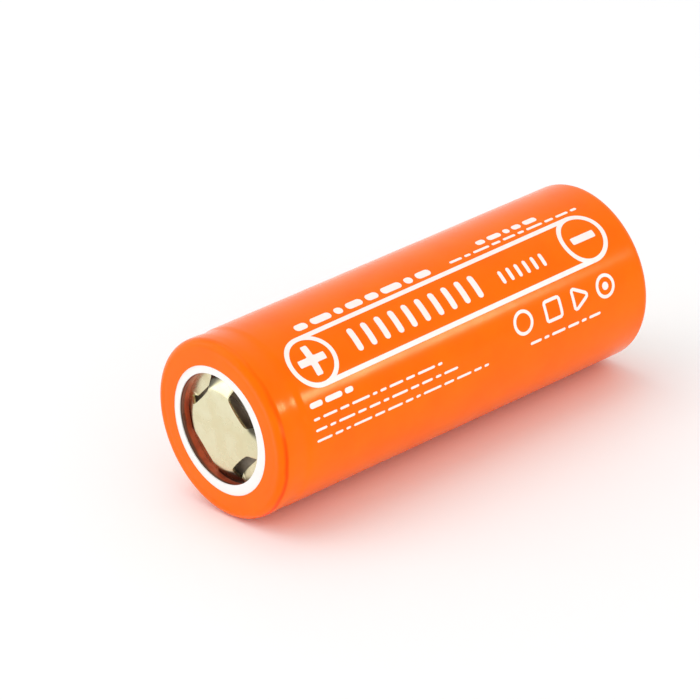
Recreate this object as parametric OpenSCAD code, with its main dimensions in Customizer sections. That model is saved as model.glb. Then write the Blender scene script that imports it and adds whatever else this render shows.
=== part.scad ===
// Cylindrical lithium cell of the 26 mm class in a heat-shrink sleeve.
// The cell lies on its side: its axis runs along X and its positive end faces -X.
// The origin is on the resting line, halfway along the cell.
// Every piece is drawn standing on its negative end, on the Z axis, and lay_down() puts it on its side.

/* [Cell] */
// Outer diameter of the bare can
can_d = 26.2; // [25.6:0.1:30]
// Length over both lips of the sleeve
cell_len = 70.4; // [60:0.1:90]

/* [Shrink sleeve] */
// Thickness of the shrunk film
sleeve_t = 0.1; // [0.06:0.01:0.15]
// Diameter of the sleeve's opening at the positive end
sleeve_open_pos_d = 19; // [18:0.1:20]
// Diameter of the sleeve's opening at the negative end
sleeve_open_neg_d = 19.6; // [17:0.1:20.4]
// How far the film sinks into the can's rolled groove
sleeve_dip = 0.12; // [0.02:0.01:0.2]
// Distance of the sunk film's edge from the edge of the groove's mouth
dip_inset = 0.25; // [0.2:0.05:0.5]

/* [Can] */
// Thickness of the can's side wall and crimped rim
can_wall = 0.3; // [0.2:0.05:0.35]
// Thickness of the can's closed end
can_end_t = 0.35; // [0.25:0.05:0.6]
// Outer radius of the can's two rounded ends
can_edge_r = 1.1; // [0.9:0.1:1.3]
// Depth of the rolled groove under the crimp
groove_depth = 1.5; // [1.2:0.1:1.8]
// Height of the rolled groove at its floor
groove_w = 1.6; // [1.2:0.1:2.2]
// Outer radius of the groove's inner corners
groove_corner_r = 0.4; // [0.2:0.05:0.5]
// Outer radius of the groove's two mouth edges
groove_mouth_r = 0.6; // [0.45:0.05:0.7]
// Diameter of the hole that the crimped rim leaves
crimp_hole_d = 17.2; // [16.9:0.1:17.8]

/* [Insulating washer] */
// Thickness of the white washer on the crimped rim
washer_t = 0.2; // [0.1:0.05:0.4]
// Distance of the washer's rim from where the can's edge starts to curve
washer_margin = 0.3; // [0.1:0.1:1]
// Diameter of the washer's hole
washer_hole_d = 16.3; // [16:0.1:17]
// How far the washer sits off the cell's axis
washer_off = 0.3; // [0:0.05:0.4]
// Direction in which the washer sits off the axis
washer_off_angle = 67; // [0:1:359]

/* [Seal gasket] */
// Thickness of the gasket's upper lip, between cap and crimp
gasket_lip_t = 1.1; // [0.8:0.1:1.4]
// Thickness of the gasket's floor, between vent disc and groove
gasket_floor_t = 0.3; // [0.2:0.05:0.5]
// Thickness of the gasket's upright wall
gasket_wall = 0.77; // [0.6:0.01:0.9]
// Diameter of the hole in the gasket's upper lip
gasket_hole_d = 16.5; // [16.2:0.1:16.7]
// Height of the gasket's rim inside the crimp
gasket_rim_h = 0.15; // [0.05:0.05:0.2]
// How far the gasket's floor reaches inside the rolled groove
gasket_floor_reach = 0.4; // [0.1:0.1:0.5]

/* [Positive cap] */
// Thickness of the cap's sheet
cap_t = 0.4; // [0.3:0.05:0.45]
// Height of the cap's plate above its flange
cap_rise = 1.5; // [1.2:0.1:1.6]
// Diameter of the cap's flat contact plate
plate_d = 11.7; // [11:0.1:12]
// Diameter at the foot of the cap's legs
cap_foot_d = 13.3; // [12.8:0.1:14]
// Outer radius of the bend round the plate
cap_bend_r = 0.5; // [0.45:0.05:0.6]
// Number of legs, and of windows between them
cap_legs = 4; // [3:1:5]
// Angle that each leg takes up
leg_angle = 41; // [30:1:50]
// Turn of the first window about the cell's axis
window_turn = -44; // [-90:1:90]
// Distance from the axis to a window's inner edge
window_inner = 5.05; // [4.5:0.05:5.4]
// Radius of a window's outer edge
window_outer_r = 6.85; // [6.7:0.05:7.2]

/* [Vent disc] */
// Thickness of the vent disc
vent_t = 0.3; // [0.2:0.05:0.4]
// Depth of the vent disc's dish
dish_depth = 0.4; // [0.2:0.05:0.45]
// Distance of the dish's top from the insulating ring
dish_gap = 0.5; // [0.2:0.1:0.8]
// Width of the dish's sloping side
dish_slope_w = 1.7; // [1:0.1:2]
// Diameter of the boss welded to the contact plate
vent_boss_d = 3; // [2:0.1:4]
// Inner diameter of the tear line
tear_d = 8.4; // [7:0.1:9.6]
// Width of the tear line
tear_w = 0.4; // [0.2:0.05:0.6]
// Depth of the tear line
tear_depth = 0.15; // [0.05:0.05:0.18]

/* [Current interrupter] */
// Height of the insulating ring
ring_t = 0.6; // [0.5:0.05:0.8]
// Width of the insulating ring
ring_w = 2.3; // [1.8:0.1:2.6]
// Thickness of the contact plate
contact_t = 0.4; // [0.3:0.05:0.5]
// Number of gas holes in the contact plate
contact_holes = 6; // [4:1:8]
// Diameter of each gas hole
contact_hole_d = 1.8; // [1:0.1:2.4]
// Distance of the gas holes from the insulating ring
contact_hole_gap = 0.5; // [0.3:0.1:1]

/* [Winding] */
// Thickness of each separator film
separator_t = 0.1; // [0.06:0.01:0.16]
// Thickness of the aluminium foil
cathode_foil_t = 0.08; // [0.04:0.01:0.12]
// Thickness of each coating on the aluminium foil
cathode_coat_t = 0.19; // [0.18:0.01:0.26]
// Thickness of the copper foil
anode_foil_t = 0.06; // [0.04:0.01:0.1]
// Thickness of each coating on the copper foil
anode_coat_t = 0.14; // [0.14:0.01:0.22]
// Smallest radius of the winding's open core
core_min_r = 1.8; // [1.5:0.1:3]
// How far the anode ends inside the separators, at each end
anode_inset = 1; // [0.5:0.1:2]
// How far the cathode ends inside the anode, at each end
cathode_inset = 1; // [0.5:0.1:2]
// Thickness of the tape that closes the winding
winding_tape_t = 0.05; // [0.03:0.01:0.08]
// Distance of the closing tape from each end of the winding
winding_tape_inset = 4; // [2:0.5:15]

/* [Tabs] */
// Width of the aluminium tab
cathode_tab_w = 5; // [3:0.5:6]
// Thickness of the aluminium tab
cathode_tab_t = 0.12; // [0.08:0.01:0.13]
// Turn of the winding that carries the aluminium tab
cathode_tab_turn = 3; // [2:1:4]
// Width of the nickel tab
anode_tab_w = 4; // [3:0.5:6]
// Thickness of the nickel tab
anode_tab_t = 0.09; // [0.06:0.01:0.1]
// Number of whole turns outside the one that carries the nickel tab
anode_tab_cover = 1; // [1:1:3]
// Length of each tab inside the winding
tab_hold = 22; // [10:1:30]
// Thickness of the tape over each tab
tab_tape_t = 0.03; // [0.02:0.01:0.03]
// How far the tape reaches past the tab at each side
tab_tape_margin = 1.5; // [0.5:0.5:2.5]

/* [End insulators] */
// Thickness of the insulator above the winding
top_insulator_t = 0.4; // [0.2:0.05:0.8]
// Thickness of the insulator below the winding
bottom_insulator_t = 0.4; // [0.2:0.05:0.8]
// Diameter of each insulator's centre hole
insulator_hole_d = 4; // [2:0.1:4.4]
// Number of gas holes in the top insulator
insulator_holes = 6; // [3:1:8]
// Diameter of each gas hole in the top insulator
insulator_gas_d = 2.4; // [1:0.1:3]
// Distance of the gas holes from the insulator's rim
insulator_gas_gap = 2.3; // [1.5:0.1:3]

/* [Clearances] */
// Clearance round pieces that sit in the can or the gasket
seat_clear = 0.05; // [0.02:0.01:0.1]
// Clearance of the gasket's back from the can
gasket_clear = 0.03; // [0.02:0.01:0.06]
// Clearance of the insulating ring and the contact plate inside the rolled groove
hang_clear = 0.8; // [0.6:0.1:1]
// Clearance round the winding
winding_clear = 0.15; // [0.1:0.05:0.3]
// Clearance between the winding and the insulator above it
winding_play = 0.2; // [0.1:0.1:0.5]
// Clearance between neighbouring layers of the winding
layer_clear = 0.02; // [0.01:0.01:0.03]
// Clearance round a tab in its slot, and round a tab's tape in its window
slot_clear = 0.3; // [0.2:0.05:0.5]

/* [Hidden] */
$fn = 96;
// Overshoot of a cutter past the face that it cuts
cut = 1;

can_r = can_d / 2;
bore_r = can_r - can_wall;
cell_r = can_r + sleeve_t;
// Radius inside which both ends of the can are flat
flat_r = can_r - can_edge_r;
// Radius inside which the groove's upper and lower faces are flat, up to its rounded nose
ledge_r = can_r - groove_mouth_r;

// Heights of the closed end, from the outside in
can_floor_z = sleeve_t + can_end_t;
bottom_insulator_z = can_floor_z + anode_tab_t;
winding_z = bottom_insulator_z + bottom_insulator_t;

// Heights of the closure, from the outside in
washer_top_z = cell_len - sleeve_t;
crimp_top_z = washer_top_z - washer_t;
crimp_under_z = crimp_top_z - can_wall;
flange_top_z = crimp_under_z - gasket_lip_t;
plate_top_z = flange_top_z + cap_rise;
vent_top_z = flange_top_z - cap_t;
vent_under_z = vent_top_z - vent_t;
ledge_z = vent_under_z - gasket_floor_t;
groove_top_z = ledge_z - can_wall;
groove_low_z = groove_top_z - groove_w;
ledge_under_z = groove_low_z - can_wall;
contact_top_z = vent_under_z - ring_t;
contact_under_z = contact_top_z - contact_t;
top_insulator_z = ledge_under_z - top_insulator_t;
winding_top_z = top_insulator_z - winding_play;

// Radius of the hole that the rolled groove leaves, and of the pieces that hang inside it
groove_bore_r = bore_r - groove_depth;
hang_r = groove_bore_r - hang_clear;
ring_bore_r = hang_r - ring_w;
dish_top_r = ring_bore_r - dish_gap;
dish_flat_r = dish_top_r - dish_slope_w;

// The film's dip is an arc whose chord stays inside the groove's mouth
dip_half_w = groove_w / 2 + groove_mouth_r - dip_inset;
dip_r = (dip_half_w * dip_half_w + sleeve_dip * sleeve_dip) / (2 * sleeve_dip);
dip_z = groove_low_z + groove_w / 2;

// The layers of one turn, as the distance of each one's inner face from the turn's start
cathode_inner_at = separator_t + layer_clear;
cathode_foil_at = cathode_inner_at + cathode_coat_t + layer_clear;
cathode_outer_at = cathode_foil_at + cathode_foil_t + layer_clear;
separator_outer_at = cathode_outer_at + cathode_coat_t + layer_clear;
anode_inner_at = separator_outer_at + separator_t + layer_clear;
anode_foil_at = anode_inner_at + anode_coat_t + layer_clear;
anode_outer_at = anode_foil_at + anode_foil_t + layer_clear;
stack_t = anode_outer_at + anode_coat_t;
pitch = stack_t + layer_clear;
// The winding fills the can: whole turns, and a core at least as wide as asked for
winding_r = bore_r - winding_clear - winding_tape_t - layer_clear;
turns = floor((winding_r - stack_t - core_min_r) / pitch);
core_r = winding_r - stack_t - turns * pitch;

anode_z = winding_z + anode_inset;
anode_top_z = winding_top_z - anode_inset;
cathode_z = anode_z + cathode_inset;
cathode_top_z = anode_top_z - cathode_inset;

// Inner face of each tab, on the outer face of its foil
cathode_tab_r = core_r + cathode_tab_turn * pitch + cathode_foil_at + cathode_foil_t;
anode_tab_r = core_r + (turns - anode_tab_cover) * pitch + anode_foil_at + anode_foil_t;
cathode_tab_low_z = cathode_top_z - tab_hold;
anode_tab_high_z = anode_z + tab_hold;
// Both tabs stand at this angle in the winding, in the middle of a turn's first half
tab_angle = 90;

// Lays a standing piece on its side, positive end towards -X, on the plane z = 0
module lay_down() {
    translate([cell_len / 2, 0, cell_r]) rotate([0, -90, 0]) children();
}

// A flat ring, or a disc when the inner radius is 0
module ring(outer_r, inner_r, low_z, height) {
    rotate_extrude() translate([inner_r, low_z]) square([outer_r - inner_r, height]);
}

// Half section of a drum from the axis to r, with rounded outer corners
module drum_section(r, low_z, high_z, edge_r) {
    translate([0, low_z]) square([r - edge_r, high_z - low_z]);
    translate([0, low_z + edge_r]) square([r, high_z - low_z - 2 * edge_r]);
    for (z = [low_z + edge_r, high_z - edge_r]) translate([r - edge_r, z]) circle(edge_r);
}

// Section of the rolled groove, grown by the wall for the can's inner face
module groove_section(grow) {
    corner_r = groove_corner_r + grow;
    mouth_r = groove_mouth_r - grow;
    floor_r = can_r - groove_depth - grow;
    face_r = can_r - grow;
    low_z = groove_low_z - grow;
    high_z = groove_top_z + grow;
    translate([floor_r + corner_r, low_z]) square([can_wall + groove_depth, high_z - low_z]);
    translate([floor_r, low_z + corner_r]) square([corner_r, high_z - low_z - 2 * corner_r]);
    for (z = [low_z + corner_r, high_z - corner_r]) translate([floor_r + corner_r, z]) circle(corner_r);
    difference() {
        translate([face_r - mouth_r, low_z - mouth_r])
            square([mouth_r + can_wall + cut, high_z - low_z + 2 * mouth_r]);
        for (z = [low_z - mouth_r, high_z + mouth_r]) translate([face_r - mouth_r, z]) circle(mouth_r);
    }
}

// Half section of the space inside the can, under the crimp
module can_space_section() {
    difference() {
        drum_section(bore_r, can_floor_z, crimp_under_z, can_edge_r - can_wall);
        groove_section(can_wall);
    }
}

// A steel cup with a flat closed end, a rolled groove and a rim crimped inwards
module can() {
    color("silver") rotate_extrude() difference() {
        drum_section(can_r, sleeve_t, crimp_top_z, can_edge_r);
        groove_section(0);
        can_space_section();
        translate([0, crimp_under_z - cut]) square([crimp_hole_d / 2, 2 * cut]);
    }
}

// Section of the film's outer face, grown inwards by the film's thickness for its inner face
module sleeve_section(grow) {
    difference() {
        drum_section(cell_r - grow, grow, cell_len - grow, can_edge_r + sleeve_t - grow);
        translate([cell_r - sleeve_dip + dip_r, dip_z]) circle(dip_r + grow);
    }
}

// Heat-shrink film: a tube whose ends are shrunk over both ends of the can as flat lips
module shrink_sleeve() {
    color([1, 0.43, 0.12]) rotate_extrude() difference() {
        sleeve_section(0);
        sleeve_section(sleeve_t);
        translate([0, cell_len - cut]) square([sleeve_open_pos_d / 2, 2 * cut]);
        translate([0, -cut]) square([sleeve_open_neg_d / 2, 2 * cut]);
    }
}

// Flat white ring between the crimped rim and the film's lip, laid slightly off centre
module insulating_washer() {
    color("white") rotate([0, 0, washer_off_angle]) translate([washer_off, 0, 0])
        ring(flat_r - washer_off - washer_margin, washer_hole_d / 2, crimp_top_z, washer_t);
}

// Moulded ring with a C section that grips the rims of the cap and the vent disc
module seal_gasket() {
    back_r = bore_r - gasket_clear;
    top_edge_r = can_edge_r - can_wall - gasket_clear;
    low_edge_r = groove_mouth_r - can_wall + gasket_clear;
    pocket_r = back_r - gasket_wall;
    color([0.62, 0.24, 0.12]) rotate_extrude() difference() {
        union() {
            translate([gasket_hole_d / 2, ledge_z])
                square([back_r - top_edge_r - gasket_hole_d / 2, crimp_under_z - ledge_z]);
            translate([pocket_r, ledge_z + low_edge_r])
                square([gasket_wall, crimp_under_z - ledge_z - low_edge_r - top_edge_r]);
            translate([back_r - top_edge_r, crimp_under_z - top_edge_r]) circle(top_edge_r);
            translate([back_r - low_edge_r, ledge_z + low_edge_r]) circle(low_edge_r);
            translate([gasket_hole_d / 2, ledge_z])
                square([back_r - low_edge_r - gasket_hole_d / 2, gasket_lip_t]);
            translate([gasket_hole_d / 2, crimp_under_z - cut])
                square([crimp_hole_d / 2 - seat_clear - gasket_hole_d / 2, cut + gasket_rim_h]);
        }
        translate([0, vent_under_z]) square([pocket_r, flange_top_z - vent_under_z]);
        translate([0, ledge_z - cut])
            square([groove_bore_r - gasket_floor_reach, vent_under_z - ledge_z + 2 * cut]);
    }
}

// Angle of the cap's leg from the flat, and the setback of a bend's tangent point for a radius of 1
leg_slope = atan2(cap_rise, (cap_foot_d - plate_d) / 2);
setback = tan(leg_slope / 2);

// Half section of the pressed cap: plate, sloping leg and flange in one sheet
module cap_section() {
    plate_r = plate_d / 2;
    foot_r = cap_foot_d / 2;
    flange_r = bore_r - gasket_clear - gasket_wall - seat_clear;
    under = cap_t * setback;
    bend_at = [plate_r - cap_bend_r * setback, plate_top_z - cap_bend_r];
    difference() {
        polygon([
            [0, plate_top_z - cap_t], [plate_r - under, plate_top_z - cap_t],
            [foot_r - under, flange_top_z - cap_t], [flange_r, flange_top_z - cap_t],
            [flange_r, flange_top_z], [foot_r, flange_top_z], [plate_r, plate_top_z], [0, plate_top_z]
        ]);
        // What the bend round the plate leaves off the sharp corner
        translate(bend_at) difference() {
            polygon(cap_bend_r * [[0, 0], 2 * [sin(leg_slope), cos(leg_slope)],
                2 * [sin(leg_slope / 2), cos(leg_slope / 2)], [0, 2]]);
            circle(cap_bend_r);
        }
    }
}

// Outline of one window, seen along the axis and centred on +X
module window_outline() {
    half_angle = (360 / cap_legs - leg_angle) / 2;
    reach = window_outer_r + cut;
    intersection() {
        translate([window_inner, -reach]) square([reach, 2 * reach]);
        circle(window_outer_r);
        polygon([[0, 0], reach * [cos(half_angle), -sin(half_angle)],
            [reach / cos(half_angle), 0], reach * [cos(half_angle), sin(half_angle)]]);
    }
}

// Nickel-plated cap: a round contact plate on legs, with a gas window between each two legs
module positive_cap() {
    color([0.89, 0.86, 0.7]) difference() {
        rotate_extrude() cap_section();
        for (i = [0 : cap_legs - 1]) rotate([0, 0, window_turn + i * 360 / cap_legs])
            translate([0, 0, flange_top_z - cap_t - cut])
                linear_extrude(cap_rise + cap_t + 2 * cut) window_outline();
    }
}

// Aluminium safety disc: a shallow dish with a tear line, welded to the contact plate at its boss
module vent_disc() {
    rim_r = bore_r - gasket_clear - gasket_wall - seat_clear;
    dish_under_z = vent_under_z - dish_depth;
    dish_top_z = dish_under_z + vent_t;
    color([0.78, 0.79, 0.8]) rotate_extrude() polygon([
        [0, dish_top_z], [tear_d / 2, dish_top_z], [tear_d / 2, dish_top_z - tear_depth],
        [tear_d / 2 + tear_w, dish_top_z - tear_depth], [tear_d / 2 + tear_w, dish_top_z],
        [dish_flat_r, dish_top_z], [dish_top_r, vent_top_z], [rim_r, vent_top_z],
        [rim_r, vent_under_z], [dish_top_r, vent_under_z], [dish_flat_r, dish_under_z],
        [vent_boss_d / 2, dish_under_z], [vent_boss_d / 2, contact_top_z], [0, contact_top_z]
    ]);
}

// Plastic ring that keeps the contact plate off the rim of the vent disc
module interrupter_ring() {
    color([0.9, 0.9, 0.86]) ring(hang_r, ring_bore_r, contact_top_z, ring_t);
}

// Perforated aluminium plate under the ring, joined to the vent disc at the middle only
module contact_plate() {
    hole_r = contact_hole_d / 2;
    color([0.72, 0.73, 0.75]) difference() {
        ring(hang_r, 0, contact_under_z, contact_t);
        for (i = [0 : contact_holes - 1]) rotate([0, 0, i * 360 / contact_holes])
            translate([ring_bore_r - contact_hole_gap - hole_r, 0, contact_under_z - cut])
                cylinder(r = hole_r, h = contact_t + 2 * cut);
    }
}

// One half turn of a layer: a wall of the given thickness between two heights
module half_turn(centre_x, inner_r, t, low_z, high_z, start) {
    translate([centre_x, 0, 0]) rotate([0, 0, start]) rotate_extrude(angle = 180)
        translate([inner_r, low_z]) square([t, high_z - low_z]);
}

// A wound layer. First halves are centred on the axis, second halves half a pitch to the side
// and half a pitch wider, so that each half runs on into the next.
module layer(at, t, low_z, high_z) {
    for (i = [0 : turns]) half_turn(0, core_r + i * pitch + at, t, low_z, high_z, 0);
    for (i = [0 : turns - 1]) half_turn(pitch / 2, core_r + (i + 0.5) * pitch + at, t, low_z, high_z, 180);
}

// A strip on an arc about the axis, centred on tab_angle
module arc_strip(inner_r, t, width, low_z, high_z) {
    half_angle = asin(width / 2 / inner_r);
    rotate([0, 0, tab_angle - half_angle]) rotate_extrude(angle = 2 * half_angle)
        translate([inner_r, low_z]) square([t, high_z - low_z]);
}

// The bare window in a coating, where a tab and its tape lie on the foil
module tab_window(tab_r, coat_t, width, low_z, high_z) {
    arc_strip(tab_r - layer_clear / 2, coat_t + 2 * layer_clear, width + 2 * (tab_tape_margin + slot_clear),
        low_z, high_z);
}

// Film between the can's core and the cathode
module separator_inner() {
    color([0.95, 0.95, 0.93]) layer(0, separator_t, winding_z, winding_top_z);
}

// Film between the cathode and the anode
module separator_outer() {
    color([0.95, 0.95, 0.93]) layer(separator_outer_at, separator_t, winding_z, winding_top_z);
}

// Iron phosphate coating on the inner face of the aluminium foil
module cathode_coating_inner() {
    color([0.2, 0.2, 0.21]) layer(cathode_inner_at, cathode_coat_t, cathode_z, cathode_top_z);
}

// Aluminium foil that carries the cathode
module cathode_foil() {
    color([0.8, 0.81, 0.82]) layer(cathode_foil_at, cathode_foil_t, cathode_z, cathode_top_z);
}

// Iron phosphate coating on the outer face, left off where the tab is welded
module cathode_coating_outer() {
    color([0.2, 0.2, 0.21]) difference() {
        layer(cathode_outer_at, cathode_coat_t, cathode_z, cathode_top_z);
        tab_window(cathode_tab_r, cathode_coat_t, cathode_tab_w,
            cathode_tab_low_z - tab_tape_margin - slot_clear, cathode_top_z + cut);
    }
}

// Graphite coating on the inner face of the copper foil
module anode_coating_inner() {
    color([0.13, 0.13, 0.14]) layer(anode_inner_at, anode_coat_t, anode_z, anode_top_z);
}

// Copper foil that carries the anode
module anode_foil() {
    color([0.78, 0.45, 0.28]) layer(anode_foil_at, anode_foil_t, anode_z, anode_top_z);
}

// Graphite coating on the outer face, left off where the tab is welded
module anode_coating_outer() {
    color([0.13, 0.13, 0.14]) difference() {
        layer(anode_outer_at, anode_coat_t, anode_z, anode_top_z);
        tab_window(anode_tab_r, anode_coat_t, anode_tab_w, anode_z - cut,
            anode_tab_high_z + tab_tape_margin + slot_clear);
    }
}

// Tape that holds down the winding's outer end: over the last turn, down the step and onto the turn below
module winding_tape() {
    low_z = winding_z + winding_tape_inset;
    height = winding_top_z - winding_tape_inset - low_z;
    lap_angle = 50;
    outer_r = winding_r + layer_clear;
    below_r = outer_r - pitch;
    step_angle = atan(winding_tape_t / outer_r);
    color([0.85, 0.65, 0.2]) {
        rotate([0, 0, 180 - lap_angle]) rotate_extrude(angle = lap_angle + step_angle)
            translate([outer_r, low_z]) square([winding_tape_t, height]);
        rotate([0, 0, 180]) rotate_extrude(angle = step_angle)
            translate([below_r + winding_tape_t / 2, low_z])
                square([pitch + winding_tape_t / 2, height]);
        translate([pitch / 2, 0, 0]) rotate([0, 0, 180]) rotate_extrude(angle = lap_angle)
            translate([below_r + pitch / 2, low_z]) square([winding_tape_t, height]);
    }
}

// A tab: a strip on the foil, and a flat arm from the strip to past the cell's axis
module tab(tab_r, t, width, low_z, high_z, arm_z) {
    arm_r = tab_r + t;
    arc_strip(tab_r, t, width, low_z, high_z);
    intersection() {
        translate([-width / 2, -width / 2, arm_z]) cube([width, arm_r + width / 2, t]);
        translate([0, 0, arm_z]) cylinder(r = arm_r, h = t);
    }
}

// Aluminium tab from the cathode foil to the underside of the contact plate
module cathode_tab() {
    color([0.83, 0.84, 0.85]) tab(cathode_tab_r + layer_clear, cathode_tab_t, cathode_tab_w,
        cathode_tab_low_z, contact_under_z, contact_under_z - cathode_tab_t);
}

// Nickel tab from the anode foil to the middle of the can's closed end
module anode_tab() {
    color([0.7, 0.69, 0.66]) tab(anode_tab_r + layer_clear, anode_tab_t, anode_tab_w,
        can_floor_z, anode_tab_high_z, can_floor_z);
}

// Tape over the aluminium tab, up to the ends of the separators
module cathode_tab_tape() {
    color([0.9, 0.75, 0.3]) arc_strip(cathode_tab_r + cathode_tab_t + 2 * layer_clear, tab_tape_t,
        cathode_tab_w + 2 * tab_tape_margin, cathode_tab_low_z - tab_tape_margin, winding_top_z);
}

// Tape over the nickel tab, down to the ends of the separators
module anode_tab_tape() {
    color([0.9, 0.75, 0.3]) arc_strip(anode_tab_r + anode_tab_t + 2 * layer_clear, tab_tape_t,
        anode_tab_w + 2 * tab_tape_margin, winding_z, anode_tab_high_z + tab_tape_margin);
}

// Slot through an insulator where a tab passes
module tab_slot(tab_r, t, width, low_z, height) {
    arc_strip(tab_r - slot_clear, t + 2 * slot_clear, width + 2 * slot_clear,
        low_z - cut, low_z + height + cut);
}

// Disc between the winding and the groove, with gas holes and a slot for the aluminium tab
module top_insulator() {
    gas_r = insulator_gas_d / 2;
    color([0.93, 0.93, 0.9]) difference() {
        ring(ledge_r, insulator_hole_d / 2, top_insulator_z, top_insulator_t);
        for (i = [0 : insulator_holes - 1]) rotate([0, 0, i * 360 / insulator_holes])
            translate([ledge_r - insulator_gas_gap - gas_r, 0, top_insulator_z - cut])
                cylinder(r = gas_r, h = top_insulator_t + 2 * cut);
        tab_slot(cathode_tab_r, cathode_tab_t, cathode_tab_w, top_insulator_z, top_insulator_t);
    }
}

// Disc between the winding and the can's closed end, with a slot for the nickel tab
module bottom_insulator() {
    color([0.93, 0.93, 0.9]) difference() {
        ring(flat_r, insulator_hole_d / 2, bottom_insulator_z, bottom_insulator_t);
        tab_slot(anode_tab_r, anode_tab_t, anode_tab_w, bottom_insulator_z, bottom_insulator_t);
    }
}

lay_down() shrink_sleeve();
lay_down() insulating_washer();
lay_down() can();
lay_down() seal_gasket();
lay_down() positive_cap();
lay_down() vent_disc();
lay_down() interrupter_ring();
lay_down() contact_plate();
lay_down() cathode_tab();
lay_down() cathode_tab_tape();
lay_down() top_insulator();
lay_down() separator_inner();
lay_down() cathode_coating_inner();
lay_down() cathode_foil();
lay_down() cathode_coating_outer();
lay_down() separator_outer();
lay_down() anode_coating_inner();
lay_down() anode_foil();
lay_down() anode_coating_outer();
lay_down() winding_tape();
lay_down() anode_tab();
lay_down() anode_tab_tape();
lay_down() bottom_insulator();
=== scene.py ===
"""Looks of a cylindrical battery cell that lies on its side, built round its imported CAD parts.

Lengths are metres in the row frame: X runs along the cell with the positive end at -X, and Z is up.
Round pieces are described by x, by their distance r from the cell's axis, and by a turn, which is
measured from straight up towards -Y.
"""

import logging
import math
from collections.abc import Sequence
from dataclasses import dataclass, field
from enum import Enum

import bmesh
import bpy
import numpy as np
from mathutils import Matrix, Vector

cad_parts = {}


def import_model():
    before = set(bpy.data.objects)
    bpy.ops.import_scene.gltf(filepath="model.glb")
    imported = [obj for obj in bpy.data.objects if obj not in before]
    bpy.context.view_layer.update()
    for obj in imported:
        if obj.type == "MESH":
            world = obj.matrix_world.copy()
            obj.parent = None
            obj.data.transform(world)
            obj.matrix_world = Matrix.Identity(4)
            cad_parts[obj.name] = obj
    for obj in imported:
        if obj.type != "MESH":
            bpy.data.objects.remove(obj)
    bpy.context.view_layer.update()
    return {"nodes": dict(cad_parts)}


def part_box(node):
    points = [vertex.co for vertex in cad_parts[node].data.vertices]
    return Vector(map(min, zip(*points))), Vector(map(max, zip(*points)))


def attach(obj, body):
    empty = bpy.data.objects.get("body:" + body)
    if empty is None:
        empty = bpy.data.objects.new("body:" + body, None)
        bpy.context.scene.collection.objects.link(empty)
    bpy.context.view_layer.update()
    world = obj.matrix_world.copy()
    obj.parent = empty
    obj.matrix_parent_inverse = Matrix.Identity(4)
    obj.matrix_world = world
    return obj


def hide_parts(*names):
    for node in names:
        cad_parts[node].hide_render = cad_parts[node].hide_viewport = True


LOG = logging.getLogger("cell")
MM = 0.001
FULL_TURN = 2.0 * math.pi
ROOT = "root"
MERGE_WITHIN = 1e-7
FLAT_UNDER = 1e-8
NOISE_LOW = 0.3
NOISE_HIGH = 0.7
MIX_SHARE, MIX_FIRST, MIX_SECOND, MIX_RESULT = 0, 6, 7, 2

Array = np.ndarray
Colour = tuple[float, float, float]


# Curves and surfaces


@dataclass(frozen=True)
class Axis:
    """The cell's axis and the planes of its two end faces.

    Attributes:
        height: height of the axis over the floor.
        positive_x: x of the outermost face at the positive end.
        negative_x: x of the outermost face at the negative end.
        radius: outer radius of the cell.
    """

    height: float
    positive_x: float
    negative_x: float
    radius: float

    @classmethod
    def measured(cls, node: str) -> "Axis":
        """The axis of a round CAD node that covers the whole cell.

        Args:
            node: name of the CAD node.

        Returns:
            The axis in the middle of the node's box.
        """
        low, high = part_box(node)
        return cls((low.z + high.z) / 2, low.x, high.x, (high.z - low.z) / 2)

    def place(self, x: Array, r: Array, turn: Array) -> Array:
        """Turns x, r and turn into points: y is -r sin(turn) and z is the axis' height + r cos(turn).

        Args:
            x: places along the axis.
            r: distances from the axis.
            turn: turns from straight up towards -Y, in radians.

        Returns:
            Points, with the coordinates in the last dimension.
        """
        x, r, turn = np.broadcast_arrays(x, r, turn)
        return np.stack([x, -r * np.sin(turn), self.height + r * np.cos(turn)], -1)


def banded(bands: Sequence[Array], columns: int) -> Array:
    """Bands of stations under each other, each the same at every turn where it has one column."""
    return np.vstack([np.broadcast_to(band, (len(band), columns)) for band in bands])


def even_turns(count: int) -> Array:
    """Turns all the way round, without repeating the first."""
    return np.arange(count) * (FULL_TURN / count)


def ripple(turn: Array, strengths: Sequence[float], phase: float) -> Array:
    """A wavy value that closes on itself: a sum of cosines of 2, 3, 4 ... times the turn.

    Args:
        turn: turns in radians.
        strengths: height of each cosine, from the second on.
        phase: shifts the cosines, so that two ripples differ.

    Returns:
        The sum at each turn, about between -1 and 1 when the strengths add up to 1.
    """
    order = np.arange(2, 2 + len(strengths))
    angle = np.multiply.outer(turn, order) + phase * order**2
    return np.cos(angle) @ np.asarray(strengths)


def smooth_step(share: Array) -> Array:
    """Goes from 0 to 1 with level ends: s^2 (3 - 2s)."""
    return share**2 * (3 - 2 * share)


def bell(offset: Array, width: float) -> Array:
    """A bell curve: e to the power of minus the squared offset in widths."""
    return np.exp(-((offset / width) ** 2))


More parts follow.
